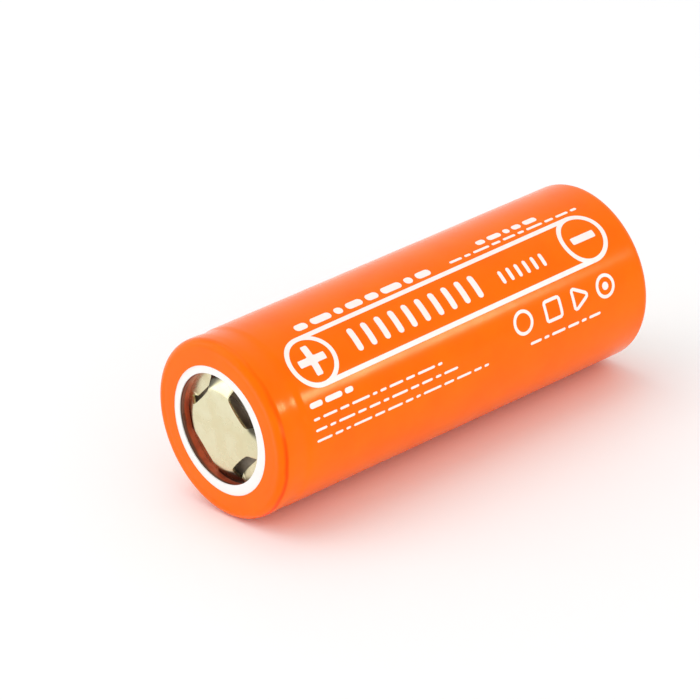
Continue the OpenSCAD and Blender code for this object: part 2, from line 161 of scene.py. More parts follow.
def rounded(corners: Sequence[Sequence[float]], steps: int = 5) -> Array:
    """A closed outline with rounded corners.

    Each corner is cut where its circle touches both sides, and the arc between the two cuts is a
    rational parabola whose middle weight is the cosine of half the turn, which is a true circle.

    Args:
        corners: (first, second, radius) of each corner, in order.
        steps: segments of each arc.

    Returns:
        Points of the outline, without repeating the first.
    """
    data = np.asarray(corners, float)
    tip = data[:, :2]
    back = np.roll(tip, 1, 0) - tip
    ahead = np.roll(tip, -1, 0) - tip
    back /= np.linalg.norm(back, axis=1, keepdims=True)
    ahead /= np.linalg.norm(ahead, axis=1, keepdims=True)
    half = np.arccos(np.clip((back * ahead).sum(1), -1, 1)) / 2
    reach = (data[:, 2] / np.tan(half))[:, None]
    t = np.linspace(0, 1, steps + 1)[None, :, None]
    weight = np.sin(half)[:, None, None]
    first = (1 - t) ** 2
    middle = 2 * t * (1 - t) * weight
    last = t**2
    starts = (tip + back * reach)[:, None]
    ends = (tip + ahead * reach)[:, None]
    total = first * starts + middle * tip[:, None] + last * ends
    return (total / (first + middle + last)).reshape(-1, 2)


def spaced(outline: Array, step: float) -> Array:
    """A closed outline with points at even distances along it.

    Args:
        outline: points of the outline, without repeating the first.
        step: largest distance between two points.

    Returns:
        The new points, without repeating the first.
    """
    loop = np.vstack([outline, outline[:1]])
    along = np.concatenate([[0], np.cumsum(np.linalg.norm(np.diff(loop, axis=0), axis=1))])
    at = np.linspace(0, along[-1], math.ceil(along[-1] / step) + 1)[:-1]
    return np.stack([np.interp(at, along, loop[:, 0]), np.interp(at, along, loop[:, 1])], -1)


@dataclass
class Shell:
    """Surfaces made of quads.

    Attributes:
        points: the points, one to a row.
        quads: the numbers of each quad's four points.
    """

    points: Array
    quads: Array

    @classmethod
    def grid(cls, points: Array, close_rows: bool = True, close_columns: bool = True) -> "Shell":
        """A grid of quads: each point is joined to the next in its row and in its column.

        Args:
            points: rows x columns x 3.
            close_rows: joins the last column to the first.
            close_columns: joins the last row to the first.

        Returns:
            The surface.
        """
        rows, columns = points.shape[:2]
        i = np.arange(rows if close_columns else rows - 1)[:, None]
        j = np.arange(columns if close_rows else columns - 1)[None, :]
        below = (i + 1) % rows
        right = (j + 1) % columns
        corners = [i * columns + j, i * columns + right, below * columns + right, below * columns + j]
        quads = np.stack(np.broadcast_arrays(*corners), -1).reshape(-1, 4)
        return cls(points.reshape(-1, 3), quads)

    @classmethod
    def joined(cls, shells: Sequence["Shell"]) -> "Shell":
        """Several surfaces as one.

        Args:
            shells: the surfaces.

        Returns:
            One surface that holds them all.
        """
        starts = np.cumsum([0] + [len(s.points) for s in shells[:-1]])
        quads = [s.quads + start for s, start in zip(shells, starts)]
        return cls(np.vstack([s.points for s in shells]), np.vstack(quads))

    def mesh(self, name: str) -> bpy.types.Mesh:
        """The surface as a mesh.

        Args:
            name: name of the mesh.

        Returns:
            The mesh.
        """
        made = bpy.data.meshes.new(name)
        made.from_pydata(self.points.tolist(), [], self.quads.tolist())
        return made

    def kept(self, keep: Array) -> "Shell":
        """The surface with only some of its quads.

        Args:
            keep: one True or False for each quad.

        Returns:
            The smaller surface.
        """
        return Shell(self.points, self.quads[keep.reshape(-1)])


def revolved(axis: Axis, profile: Array, columns: int) -> Shell:
    """A closed profile carried round the axis: each (x, r) goes through a full turn.

    Args:
        axis: the cell's axis.
        profile: (x, r) of each point of the profile.
        columns: segments round the axis.

    Returns:
        The ring.
    """
    return Shell.grid(axis.place(profile[:, :1], profile[:, 1:], even_turns(columns)[None, :]))


def shown(name: str, data: bpy.types.ID) -> bpy.types.Object:
    """Puts a mesh, lamp or camera in the scene.

    Args:
        name: name of the object.
        data: what it shows.

    Returns:
        The object, at the origin.
    """
    made = bpy.data.objects.new(name, data)
    bpy.context.scene.collection.objects.link(made)
    return made


def make_piece(
    name: str, shell: Shell, smooth_angle: float = 40.0, marks: dict[str, Array] | None = None
) -> bpy.types.Object:
    """Makes an object of a surface, merges its poles, turns its faces outwards and lets it ride.

    Args:
        name: name of the piece.
        shell: its surface, in place in the row frame.
        smooth_angle: edges that turn by more than this many degrees stay sharp.
        marks: a value for each point, under the name that a material reads it by.

    Returns:
        The object.
    """
    mesh = shell.mesh(name)
    for mark, values in (marks or {}).items():
        mesh.attributes.new(mark, "FLOAT", "POINT").data.foreach_set("value", values.ravel())
    work = bmesh.new()
    work.from_mesh(mesh)
    bmesh.ops.remove_doubles(work, verts=work.verts, dist=MERGE_WITHIN)
    bmesh.ops.dissolve_degenerate(work, edges=work.edges, dist=FLAT_UNDER)
    bmesh.ops.recalc_face_normals(work, faces=work.faces)
    work.to_mesh(mesh)
    work.free()
    mesh.shade_smooth()
    mesh.set_sharp_from_angle(angle=math.radians(smooth_angle))
    piece = shown(name, mesh)
    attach(piece, ROOT)
    LOG.info("%s: %d faces", name, len(mesh.polygons))
    return piece


# Shader node groups and finishes


def written(red: int, green: int, blue: int) -> Colour:
    """A colour in screen values as the linear values that a shader takes, by the sRGB curve.

    Args:
        red: red from 0 to 255.
        green: green from 0 to 255.
        blue: blue from 0 to 255.

    Returns:
        The linear colour.
    """
    share = np.array([red, green, blue]) / 255
    linear = np.where(share <= 0.04045, share / 12.92, ((share + 0.055) / 1.055) ** 2.4)
    return tuple(float(x) for x in linear)


class Nodes:
    """Adds nodes to one tree, with their settings, values and links given in one call."""

    def __init__(self, tree: bpy.types.NodeTree) -> None:
        """Keeps the tree."""
        self.tree = tree

    def add(self, kind: str, inputs: dict | None = None, **settings: object) -> bpy.types.Node:
        """Adds a node.

        Args:
            kind: the node's type without its ShaderNode prefix.
            inputs: value or output socket for each named or numbered input.
            settings: the node's own properties.

        Returns:
            The node.
        """
        node = self.tree.nodes.new(kind if kind.startswith("NodeGroup") else "ShaderNode" + kind)
        for name, value in settings.items():
            setattr(node, name, value)
        for name, value in (inputs or {}).items():
            if isinstance(value, bpy.types.NodeSocket):
                self.tree.links.new(value, node.inputs[name])
            elif isinstance(value, tuple) and len(value) == 3 and node.inputs[name].type == "RGBA":
                node.inputs[name].default_value = (*value, 1.0)
            else:
                node.inputs[name].default_value = value
        return node

    def maths(self, operation: str, *values: object) -> bpy.types.NodeSocket:
        """The result of a Math node on values or sockets."""
        return self.add("Math", dict(enumerate(values)), operation=operation).outputs[0]

    def spread(
        self, value: object, low: float, high: float, to_low: object, to_high: object
    ) -> bpy.types.NodeSocket:
        """Carries a value from one range to another, and keeps it inside.

        Args:
            value: the socket to carry over.
            low: start of the first range.
            high: end of the first range.
            to_low: value or socket for the start of the second range.
            to_high: value or socket for the end of the second range.

        Returns:
            The new value.
        """
        inputs = {"Value": value, "From Min": low, "From Max": high, "To Min": to_low, "To Max": to_high}
        return self.add("MapRange", inputs).outputs["Result"]

    def blend(self, share: object, first: object, second: object) -> bpy.types.NodeSocket:
        """A mix of two colours.

        Args:
            share: share of the second colour, from 0 to 1.
            first: value or socket of the first colour.
            second: value or socket of the second colour.

        Returns:
            The mixed colour.
        """
        inputs = {MIX_SHARE: share, MIX_FIRST: first, MIX_SECOND: second}
        return self.add("Mix", inputs, data_type="RGBA").outputs[MIX_RESULT]


Group = tuple[Nodes, bpy.types.NodeOutputs, bpy.types.NodeInputs]


class Effect(Enum):
    """The effects that several materials share, each a node group of its own."""

    MOTTLE = "mottle"
    RELIEF = "relief"
    SCRATCHES = "scratches"
    SPECKS = "specks"


class EffectLibrary:
    """Builds each shared effect once, places it in a material, and keeps the materials made."""

    def __init__(self) -> None:
        """Builds all the groups."""
        self.materials: dict[str, bpy.types.Material] = {}
        self.groups = {
            Effect.MOTTLE: self._mottle(),
            Effect.RELIEF: self._relief(),
            Effect.SCRATCHES: self._scratches(),
            Effect.SPECKS: self._specks(),
        }

    @staticmethod
    def _group(effect: Effect, inputs: dict[str, str], outputs: dict[str, str]) -> Group:
        """An empty group with its sockets.

        Args:
            effect: the effect that the group holds.
            inputs: type of each named input besides Place and Scale.
            outputs: type of each named output.

        Returns:
            The group's nodes, the sockets that give its inputs, and those that take its outputs.
        """
        tree = bpy.data.node_groups.new(effect.value, "ShaderNodeTree")
        shared = {"Place": "Vector", "Scale": "Float"}
        for direction, sockets in (("INPUT", shared | inputs), ("OUTPUT", outputs)):
            for name, kind in sockets.items():
                tree.interface.new_socket(name, in_out=direction, socket_type="NodeSocket" + kind)
        nodes = Nodes(tree)
        return nodes, nodes.add("NodeGroupInput").outputs, nodes.add("NodeGroupOutput").inputs

    def _mottle(self) -> bpy.types.NodeTree:
        """Soft clouds that lead from one colour and roughness to another.

        Returns:
            The group.
        """
        sockets = {"Light": "Color", "Dark": "Color", "Roughness": "Float", "Spread": "Float"}
        nodes, given, made = self._group(Effect.MOTTLE, sockets, {"Colour": "Color", "Roughness": "Float"})
        inputs = {"Vector": given["Place"], "Scale": given["Scale"], "Detail": 4.0}
        cloud = nodes.add("TexNoise", inputs).outputs[0]
        mask = nodes.spread(cloud, NOISE_LOW, NOISE_HIGH, 0.0, 1.0)
        shift = nodes.maths("MULTIPLY", nodes.maths("SUBTRACT", mask, 0.5), given["Spread"])
        nodes.tree.links.new(nodes.blend(mask, given["Light"], given["Dark"]), made["Colour"])
        nodes.tree.links.new(nodes.maths("ADD", given["Roughness"], shift), made["Roughness"])
        return nodes.tree

    def _relief(self) -> bpy.types.NodeTree:
        """Height of a fine grain with a slower unevenness under it.

        Returns:
            The group.
        """
        sockets = {"Grain": "Float", "Swell": "Float"}
        nodes, given, made = self._group(Effect.RELIEF, sockets, {"Height": "Float"})
        place = given["Place"]
        fine = nodes.add("TexNoise", {"Vector": place, "Scale": given["Scale"], "Detail": 3.0})
        slow_scale = nodes.maths("MULTIPLY", given["Scale"], 0.12)
        slow = nodes.add("TexNoise", {"Vector": place, "Scale": slow_scale, "Detail": 1.0})
        grain = nodes.maths("MULTIPLY", fine.outputs[0], given["Grain"])
        swell = nodes.maths("MULTIPLY", slow.outputs[0], given["Swell"])
        nodes.tree.links.new(nodes.maths("ADD", grain, swell), made["Height"])
        return nodes.tree

    def _scratches(self) -> bpy.types.NodeTree:
        """Mask of thin broken lines: where a noise crosses its middle, kept in patches.

        Returns:
            The group.
        """
        sockets = {"Width": "Float", "Amount": "Float"}
        nodes, given, made = self._group(Effect.SCRATCHES, sockets, {"Mask": "Float"})
        inputs = {"Vector": given["Place"], "Scale": given["Scale"], "Detail": 1.0, "Distortion": 0.4}
        line = nodes.add("TexNoise", inputs).outputs[0]
        distance = nodes.maths("ABSOLUTE", nodes.maths("SUBTRACT", line, 0.5))
        thin = nodes.spread(distance, 0.0, given["Width"], 1.0, 0.0)
        patch_scale = nodes.maths("MULTIPLY", given["Scale"], 1.7)
        patch = nodes.add("TexNoise", {"Vector": given["Place"], "Scale": patch_scale}).outputs[0]
        kept = nodes.maths("MULTIPLY", nodes.spread(patch, 0.52, 0.62, 0.0, 1.0), given["Amount"])
        nodes.tree.links.new(nodes.maths("MULTIPLY", thin, kept), made["Mask"])
        return nodes.tree

    def _specks(self) -> bpy.types.NodeTree:
        """Mask of small round specks at the middles of cells, on some of the cells.

        Returns:
            The group.
        """
        sockets = {"Size": "Float", "Share": "Float"}
        nodes, given, made = self._group(Effect.SPECKS, sockets, {"Mask": "Float"})
        cells = nodes.add("TexVoronoi", {"Vector": given["Place"], "Scale": given["Scale"]}).outputs
        dot = nodes.spread(cells["Distance"], 0.0, given["Size"], 1.0, 0.0)
        pick = nodes.add("SeparateColor", {"Color": cells["Color"]}).outputs[0]
        chosen = nodes.maths("LESS_THAN", pick, given["Share"])
        nodes.tree.links.new(nodes.maths("MULTIPLY", dot, chosen), made["Mask"])
        return nodes.tree

    def use(self, nodes: Nodes, effect: Effect, inputs: dict) -> bpy.types.Node:
        """Places an effect in a material.

        Args:
            nodes: the material's nodes.
            effect: which effect.
            inputs: values or sockets for the group's inputs.

        Returns:
            The group node.
        """
        return nodes.add("Group", inputs, node_tree=self.groups[effect])


@dataclass
class Surface:
    """A material's surface while it is being put together.

    Attributes:
        nodes: the material's nodes.
        effects: the shared effects.
        coordinates: Object coordinates.
        colour: the colour so far.
        rough: the roughness so far.
        height: the relief's height so far.
    """

    nodes: Nodes
    effects: EffectLibrary
    coordinates: bpy.types.NodeSocket
    colour: bpy.types.NodeSocket | None = None
    rough: bpy.types.NodeSocket | None = None
    height: bpy.types.NodeSocket | None = None

    def mix(self, share: bpy.types.NodeSocket, colour: Colour) -> None:
        """Mixes a share of another colour in."""
        self.colour = self.nodes.blend(share, self.colour, colour)

    def lift(self, height: bpy.types.NodeSocket) -> None:
        """Adds to the height."""
        self.height = self.nodes.maths("ADD", self.height, height)


@dataclass(frozen=True)
class Finish:
    """A finish of a solid material, with its own scales and colours.

    Attributes:
        name: name of the material.
        light: colour where the clouds are light.
        dark: colour where they are dark.
        metallic: 1 for bare metal.
        roughness: middle roughness.
        spread: how far the roughness goes up and down.
        cloud: clouds per metre.
        grain: grains per metre.
        grain_height: height of the grain.
        swell: height of the slower unevenness.
        stretch: scale of the pattern along X, Y and Z, to draw it out along one of them.
        scratch: strength of the scratches, from 0 to 1.
        scratch_w: their width, as a share of the clouds' swing.
        scratch_rough: roughness that a scratch adds.
        scratch_depth: depth of a scratch.
        speck: share of the cells that carry a speck.
        speck_size: radius of a speck, as a share of its cell.
        speck_share: share of a speck's own colour at its middle.
        speck_colour: that colour.
        coat: weight of a clear coat.
        coat_roughness: roughness of that coat.
        level: refraction index.
        tint: colour of the mirror reflection where it is seen straight on.
    """

    name: str
    light: Colour
    dark: Colour
    metallic: float = 0.0
    roughness: float = 0.5
    spread: float = 0.1
    cloud: float = 300.0
    grain: float = 4000.0
    grain_height: float = 0.002 * MM
    swell: float = 0.0
    stretch: tuple[float, float, float] = (1.0, 1.0, 1.0)
    scratch: float = 0.0
    scratch_w: float = 0.006
    scratch_rough: float = 0.25
    scratch_depth: float = 0.004 * MM
    speck: float = 0.0
    speck_size: float = 0.12
    speck_share: float = 0.5
    speck_colour: Colour = (0.05, 0.05, 0.05)
    coat: float = 0.0
    coat_roughness: float = 0.1
    level: float = 1.5
    tint: Colour = (1.0, 1.0, 1.0)

    def material(self, effects: EffectLibrary) -> bpy.types.Material:
        """Builds the material.

        Args:
            effects: the shared effects.

        Returns:
            The material.
        """
        made = bpy.data.materials.new(self.name)
        made.use_nodes = True
        shader = made.node_tree.nodes["Principled BSDF"]
        self._constants(shader)
        nodes = Nodes(made.node_tree)
        surface = Surface(nodes, effects, nodes.add("TexCoord").outputs["Object"])
        self._patterns(surface)
        self.extra(surface)
        bump = nodes.add("Bump", {"Height": surface.height, "Strength": 1.0, "Distance": 1.0})
        values = {"Base Color": surface.colour, "Roughness": surface.rough, "Normal": bump.outputs[0]}
        for name, value in values.items():
            made.node_tree.links.new(value, shader.inputs[name])
        return made

    def _constants(self, shader: bpy.types.Node) -> None:
        """Sets what is the same all over the surface on the shader's own sockets.

        Args:
            shader: the Principled BSDF.
        """
        values = {
            "Metallic": self.metallic,
            "Coat Weight": self.coat,
            "Coat Roughness": self.coat_roughness,
            "IOR": self.level,
            "Specular Tint": (*self.tint, 1.0),
        }
        for name, value in values.items():
            shader.inputs[name].default_value = value

    def _patterns(self, surface: Surface) -> None:
        """Adds clouds, grain, scratches and specks.

        Args:
            surface: the surface that they go on.
        """
        nodes = surface.nodes
        use = surface.effects.use
        place = nodes.add("Mapping", {"Vector": surface.coordinates, "Scale": self.stretch}).outputs[0]
        clouds = {"Place": place, "Scale": self.cloud, "Light": self.light, "Dark": self.dark}
        clouds |= {"Roughness": self.roughness, "Spread": self.spread}
        mottle = use(nodes, Effect.MOTTLE, clouds)
        grain = {"Place": place, "Scale": self.grain, "Grain": self.grain_height, "Swell": self.swell}
        surface.colour = mottle.outputs["Colour"]
        surface.rough = mottle.outputs["Roughness"]
        surface.height = use(nodes, Effect.RELIEF, grain).outputs["Height"]
        if self.scratch:
            lines = {"Place": place, "Scale": self.cloud, "Width": self.scratch_w, "Amount": self.scratch}
            line = use(nodes, Effect.SCRATCHES, lines).outputs["Mask"]
            added = nodes.maths("MULTIPLY", line, self.scratch_rough)
            surface.rough = nodes.maths("ADD", surface.rough, added)
            surface.lift(nodes.maths("MULTIPLY", line, -self.scratch_depth))
        if self.speck:
            dots = {"Place": place, "Scale": self.cloud * 2, "Size": self.speck_size, "Share": self.speck}
            dot = use(nodes, Effect.SPECKS, dots).outputs["Mask"]
            surface.mix(nodes.maths("MULTIPLY", dot, self.speck_share), self.speck_colour)

    def extra(self, surface: Surface) -> None:
        """What a special finish adds to the surface. A plain one adds nothing."""


@dataclass(frozen=True)
class ShadeBandFinish(Finish):
    """A finish with a band of painted shade that runs round the cell: a darker colour for the shade in a
    crease or under an edge.

    Attributes:
        band_x: middle of the band along the cell.
        band_core: half width over which the band has its full strength.
        band_w: half width at which it has faded out.
        band_share: its full strength, from 0 to 1.
        band_top: part of that strength which is left at the cell's top, where more light falls.
        full_z: height up to which the strength is full.
        top_z: height of the cell's top.
        band_waver: how far its edges wander.
        waver_scale: how often they do, per metre.
        band_shade_colour: colour of the painted shade.
    """

    band_x: float = 0.0
    band_core: float = 0.0
    band_w: float = 0.5 * MM
    band_share: float = 1.0
    band_top: float = 1.0
    full_z: float = 13.0 * MM
    top_z: float = 26.0 * MM
    band_waver: float = 0.0
    waver_scale: float = 260.0
    band_shade_colour: Colour = (0.8, 0.05, 0.0)

    def extra(self, surface: Surface) -> None:
        """Mixes the painted shade's colour in, by the distance along the cell with a little noise.

        Args:
            surface: the surface that it goes on.
        """
        nodes = surface.nodes
        parts = nodes.add("SeparateXYZ", {"Vector": surface.coordinates}).outputs
        place = {"Vector": surface.coordinates, "Scale": self.waver_scale}
        noise = nodes.add("TexNoise", place).outputs[0]
        waver = nodes.spread(noise, NOISE_LOW, NOISE_HIGH, -self.band_waver, self.band_waver)
        offset = nodes.maths("ADD", nodes.maths("SUBTRACT", parts["X"], self.band_x), waver)
        distance = nodes.maths("ABSOLUTE", offset)
        at_top = self.band_share * self.band_top
        strength = nodes.spread(parts["Z"], self.full_z, self.top_z, self.band_share, at_top)
        surface.mix(nodes.spread(distance, self.band_core, self.band_w, strength, 0.0), self.band_shade_colour)


@dataclass(frozen=True)
class FibreFinish(Finish):
    """Pressed fibre board: short pale threads lie in every direction.

    Attributes:
        bend_scale: how often the threads bend, per metre.
        threads: threads across one bend.
        thread_w: half width of a thread, as a share of their distance.
        thread_height: how far a thread stands up.
    """

    bend_scale: float = 2500.0
    threads: float = 7.0
    thread_w: float = 0.25
    thread_height: float = 0.006 * MM

    def extra(self, surface: Surface) -> None:
        """Adds the threads' height, from the edges of small distorted cells.

        Args:
            surface: the surface that they go on.
        """
        nodes = surface.nodes
        bent = nodes.add("TexNoise", {"Vector": surface.coordinates, "Scale": self.bend_scale})
        inputs = {"Vector": bent.outputs["Color"], "Scale": self.threads}
        cells = nodes.add("TexVoronoi", inputs, feature="DISTANCE_TO_EDGE").outputs["Distance"]
        surface.lift(nodes.spread(cells, 0.0, self.thread_w, self.thread_height, 0.0))


@dataclass(frozen=True)
class DrawnFinish(Finish):
    """Deep-drawn or pressed sheet: faint rings about the cell's axis.

    Attributes:
        axis_height: height of the cell's axis.
        rings: rings per metre.
        ring_height: height of the rings.
    """

    axis_height: float = 13.2 * MM
    rings: float = 1500.0
    ring_height: float = 0.0012 * MM

    def extra(self, surface: Surface) -> None:
        """Adds rings by the distance from the axis, broken up by the noise of a wave texture.

        Args:
            surface: the surface that they go on.
        """
        nodes = surface.nodes
        shift = {"Vector": surface.coordinates, "Location": (0.0, 0.0, -self.axis_height)}
        centred = nodes.add("Mapping", shift).outputs[0]
        inputs = {"Vector": centred, "Scale": self.rings, "Distortion": 1.5, "Detail": 2.0}
        rings = nodes.add("TexWave", inputs, wave_type="RINGS", rings_direction="X")
        surface.lift(nodes.maths("MULTIPLY", rings.outputs["Fac"], self.ring_height))


@dataclass(frozen=True)
class CapFinish(DrawnFinish):
    """Pressed sheet with painted shade where the piece's own mark says so.

    Attributes:
        mark: name of the mark.
        painted_shade_colour: colour of the painted shade.
    """

    mark: str = "painted_shade"
    painted_shade_colour: Colour = (0.03, 0.028, 0.025)

    def extra(self, surface: Surface) -> None:
        """Mixes the painted shade's colour in after the rings.

        Args:
            surface: the surface that it goes on.
        """
        super().extra(surface)
        # painted shade on the cap's legs, read from the piece's mark
        painted_shade = surface.nodes.add("Attribute", attribute_name=self.mark).outputs["Fac"]
        surface.mix(painted_shade, self.painted_shade_colour)


# The cell's pieces


@dataclass
class SubAssembly:
    """A group of pieces that are built and dressed together.

    Attributes:
        axis: the cell's axis.
        effects: the shared effects.
    """

    axis: Axis
    effects: EffectLibrary

    def dress(self, piece: bpy.types.Object, finish: Finish) -> None:
        """Gives a piece its only material.

        Args:
            piece: the piece.
            finish: its finish.
        """
        made = self.effects.materials
        if finish.name not in made:
            made[finish.name] = finish.material(self.effects)
        piece.data.materials.clear()
        piece.data.materials.append(made[finish.name])


@dataclass
class ShrinkFilm(SubAssembly):
    """The orange film, shrunk over both ends, with a dip where the can has its rolled groove.

    Attributes:
        thickness: thickness of the film.
        shoulder: radius of the film's shoulders.
        open_positive: radius of the opening at the positive end.
        open_negative: radius of the opening at the negative end.
        dip_x: middle of the dip.
        dip_before: reach of the dip from its middle towards the positive end.
        dip_after: reach of the dip towards the negative end.
        dip_depth: depth of the dip.
        crease_s: distance of the crease from the positive end.
        crease_w: half width of the crease.
        crease_depth: depth of the crease.
        crease_waver: how far the crease wanders.
        lip_waver: how far the edges of both openings wander.
        lip_sink: depth of the shallow ring in the positive lip.
        lip_sink_at: place of that ring, as a share of the lip from its edge.
        lip_sink_w: its half width, as the same share.
        columns: segments round the axis.
        lip_steps: stations over a lip.
        bend_steps: stations over a shoulder.
        dip_steps: stations from the positive shoulder to past the dip.
        body_steps: stations from there to the other shoulder.
    """

    thickness: float = 0.1 * MM
    shoulder: float = 1.2 * MM
    open_positive: float = 9.5 * MM
    open_negative: float = 9.8 * MM
    dip_x: float = -30.85 * MM
    dip_before: float = 2.3 * MM
    dip_after: float = 1.3 * MM
    dip_depth: float = 0.12 * MM
    crease_s: float = 0.85 * MM
    crease_w: float = 0.25 * MM
    crease_depth: float = 0.05 * MM
    crease_waver: float = 0.08 * MM
    lip_waver: float = 0.07 * MM
    lip_sink: float = 0.03 * MM
    lip_sink_at: float = 0.8
    lip_sink_w: float = 0.12
    columns: int = 224
    lip_steps: int = 15
    bend_steps: int = 21
    dip_steps: int = 54
    body_steps: int = 60

    def finish(self) -> Finish:
        """Glossy orange film, with a band of painted shade in the crease by the positive shoulder."""
        return ShadeBandFinish(
            "orange_film", written(255, 114, 0), written(254, 107, 0), roughness=0.18, level=1.29,
            tint=(1.0, 0.7, 0.32), spread=0.05, cloud=180.0, grain=5200.0, grain_height=0.0012 * MM,
            # band of painted shade along the crease, weaker at the top where more light falls
            swell=0.01 * MM, scratch=0.15, band_x=self.axis.positive_x + self.crease_s,
            band_core=0.05 * MM, band_w=0.45 * MM, band_share=0.9, band_top=0.15, band_waver=0.08 * MM,
            band_shade_colour=written(255, 68, 0),
        )

    def dip(self, x: Array) -> Array:
        """Depth of the dip: (1 - u^2)^2 of its full depth, where u is the distance in reaches.

        Args:
            x: places along the cell.

        Returns:
            The depths.
        """
        reach = np.where(x < self.dip_x, self.dip_before, self.dip_after)
        u = np.clip((x - self.dip_x) / reach, -1, 1)
        return self.dip_depth * (1 - u**2) ** 2

    def outer_face(self) -> tuple[Array, Array]:
        """x and r of the film's outer face on a grid of stations and turns.

        The stations run over the positive lip, the shoulder, the body, the other shoulder and the
        other lip. The lips' edges are wavy circles. The body dips over the can's groove, and a
        bell-shaped crease runs round the positive shoulder, deepest underneath.

        Returns:
            The two arrays, stations x turns.
        """
        turn = even_turns(self.columns)[None, :]
        rim = self.axis.radius - self.shoulder
        arc = np.linspace(0, math.pi / 2, self.bend_steps)[1:-1, None]
        lip = np.linspace(0, 1, self.lip_steps)[:, None]
        near = self.axis.positive_x
        far = self.axis.negative_x
        edge = self.open_positive + self.lip_waver * ripple(turn, (0.4, 0.25, 0.2, 0.15, 0.1), 0.9)
        far_edge = self.open_negative + self.lip_waver * ripple(turn, (0.4, 0.3, 0.15, 0.15, 0.1), 2.1)
        past_dip = self.dip_x + 2 * self.dip_after
        fine = np.linspace(near + self.shoulder, past_dip, self.dip_steps)
        coarse = np.linspace(past_dip, far - self.shoulder, self.body_steps)[1:]
        body = np.concatenate([fine, coarse])[:, None]
        dip = self.dip(body) * (0.9 + 0.1 * ripple(turn, (0.5, 0.3, 0.2), 1.7))
        bend = near + self.shoulder * (1 - np.cos(arc))
        middle = near + self.crease_s + self.crease_waver * ripple(turn, (0.5, 0.3, 0.2), 0.3)
        uneven = 0.55 - 0.45 * np.cos(turn) + 0.1 * ripple(turn, (0.4, 0.3, 0.3), 1.1)
        crease_on_bend = self.crease_depth * bell(bend - middle, self.crease_w) * uneven
        crease_on_body = self.crease_depth * bell(body - middle, self.crease_w) * uneven
        sink = self.lip_sink * bell(lip - self.lip_sink_at, self.lip_sink_w)
        sink = sink * (0.7 + 0.3 * ripple(turn, (0.6, 0.4), 2.6))
        x = [
            near + sink,
            bend + crease_on_bend * np.cos(arc),
            body,
            far - self.shoulder * (1 - np.cos(arc[::-1])),
            far + 0 * lip,
        ]
        r = [
            edge + (rim - edge) * lip,
            rim + self.shoulder * np.sin(arc) - crease_on_bend * np.sin(arc),
            self.axis.radius - dip - crease_on_body,
            rim + self.shoulder * np.sin(arc[::-1]),
            far_edge + (rim - far_edge) * lip[::-1],
        ]
        return banded(x, self.columns), banded(r, self.columns)

    def inner_face(self) -> tuple[Array, Array]:
        """x and r of the film's inner face, from the negative lip back to the positive one.

        Returns:
            The two arrays, stations x turns.
        """
        t = self.thickness
        radius = self.axis.radius - t
        rim = self.axis.radius - self.shoulder
        arc = np.linspace(0, math.pi / 2, 7)[:, None]
        small = self.shoulder - t
        near = self.axis.positive_x + t
        far = self.axis.negative_x - t
        body = np.linspace(self.dip_x + self.dip_after, self.dip_x - self.dip_before, 21)[:, None]
        bend = small * (1 - np.cos(arc))
        rise = rim + small * np.sin(arc)
        x = [[[far]], far - bend, body, near + bend[::-1], [[near]]]
        r = [[[self.open_negative]], rise, radius - self.dip(body), rise[::-1], [[self.open_positive]]]
        return banded(x, self.columns), banded(r, self.columns)

    def build(self) -> None:
        """Builds the film in place of its plain solid."""
        outer_x, outer_r = self.outer_face()
        inner_x, inner_r = self.inner_face()
        inner_r[0] = outer_r[-1]
        inner_r[-1] = outer_r[0]
        turn = even_turns(self.columns)[None, :]
        points = self.axis.place(np.vstack([outer_x, inner_x]), np.vstack([outer_r, inner_r]), turn)
        piece = make_piece("film_sleeve", Shell.grid(points), smooth_angle=50.0)
        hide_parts("shrink_sleeve")
        self.dress(piece, self.finish())


@dataclass(frozen=True)
class BarGroup:
    """Upright bars side by side in the capsule, in millimetres.

    Attributes:
        start: middle of the first bar along the cell.
        pitch: distance from one bar to the next.
        count: number of bars.
        width: width of a bar.
        height: height of a bar.
        corner: radius of its corners.
        shift: how far the bars lie off the capsule's middle.
    """

    start: float
    pitch: float
    count: int
    width: float
    height: float
    corner: float
    shift: float = 0.0


@dataclass(frozen=True)
class DashRow:
    """A row of dashes, in millimetres.

    Attributes:
        start: start of the row along the cell.
        end: its end.
        w: its place round the film.
        height: height of its dashes.
        lengths: their lengths, taken in turn.
        gap: distance between two dashes.
    """

    start: float
    end: float
    w: float
    height: float
    lengths: tuple[float, ...]
    gap: float = 0.5


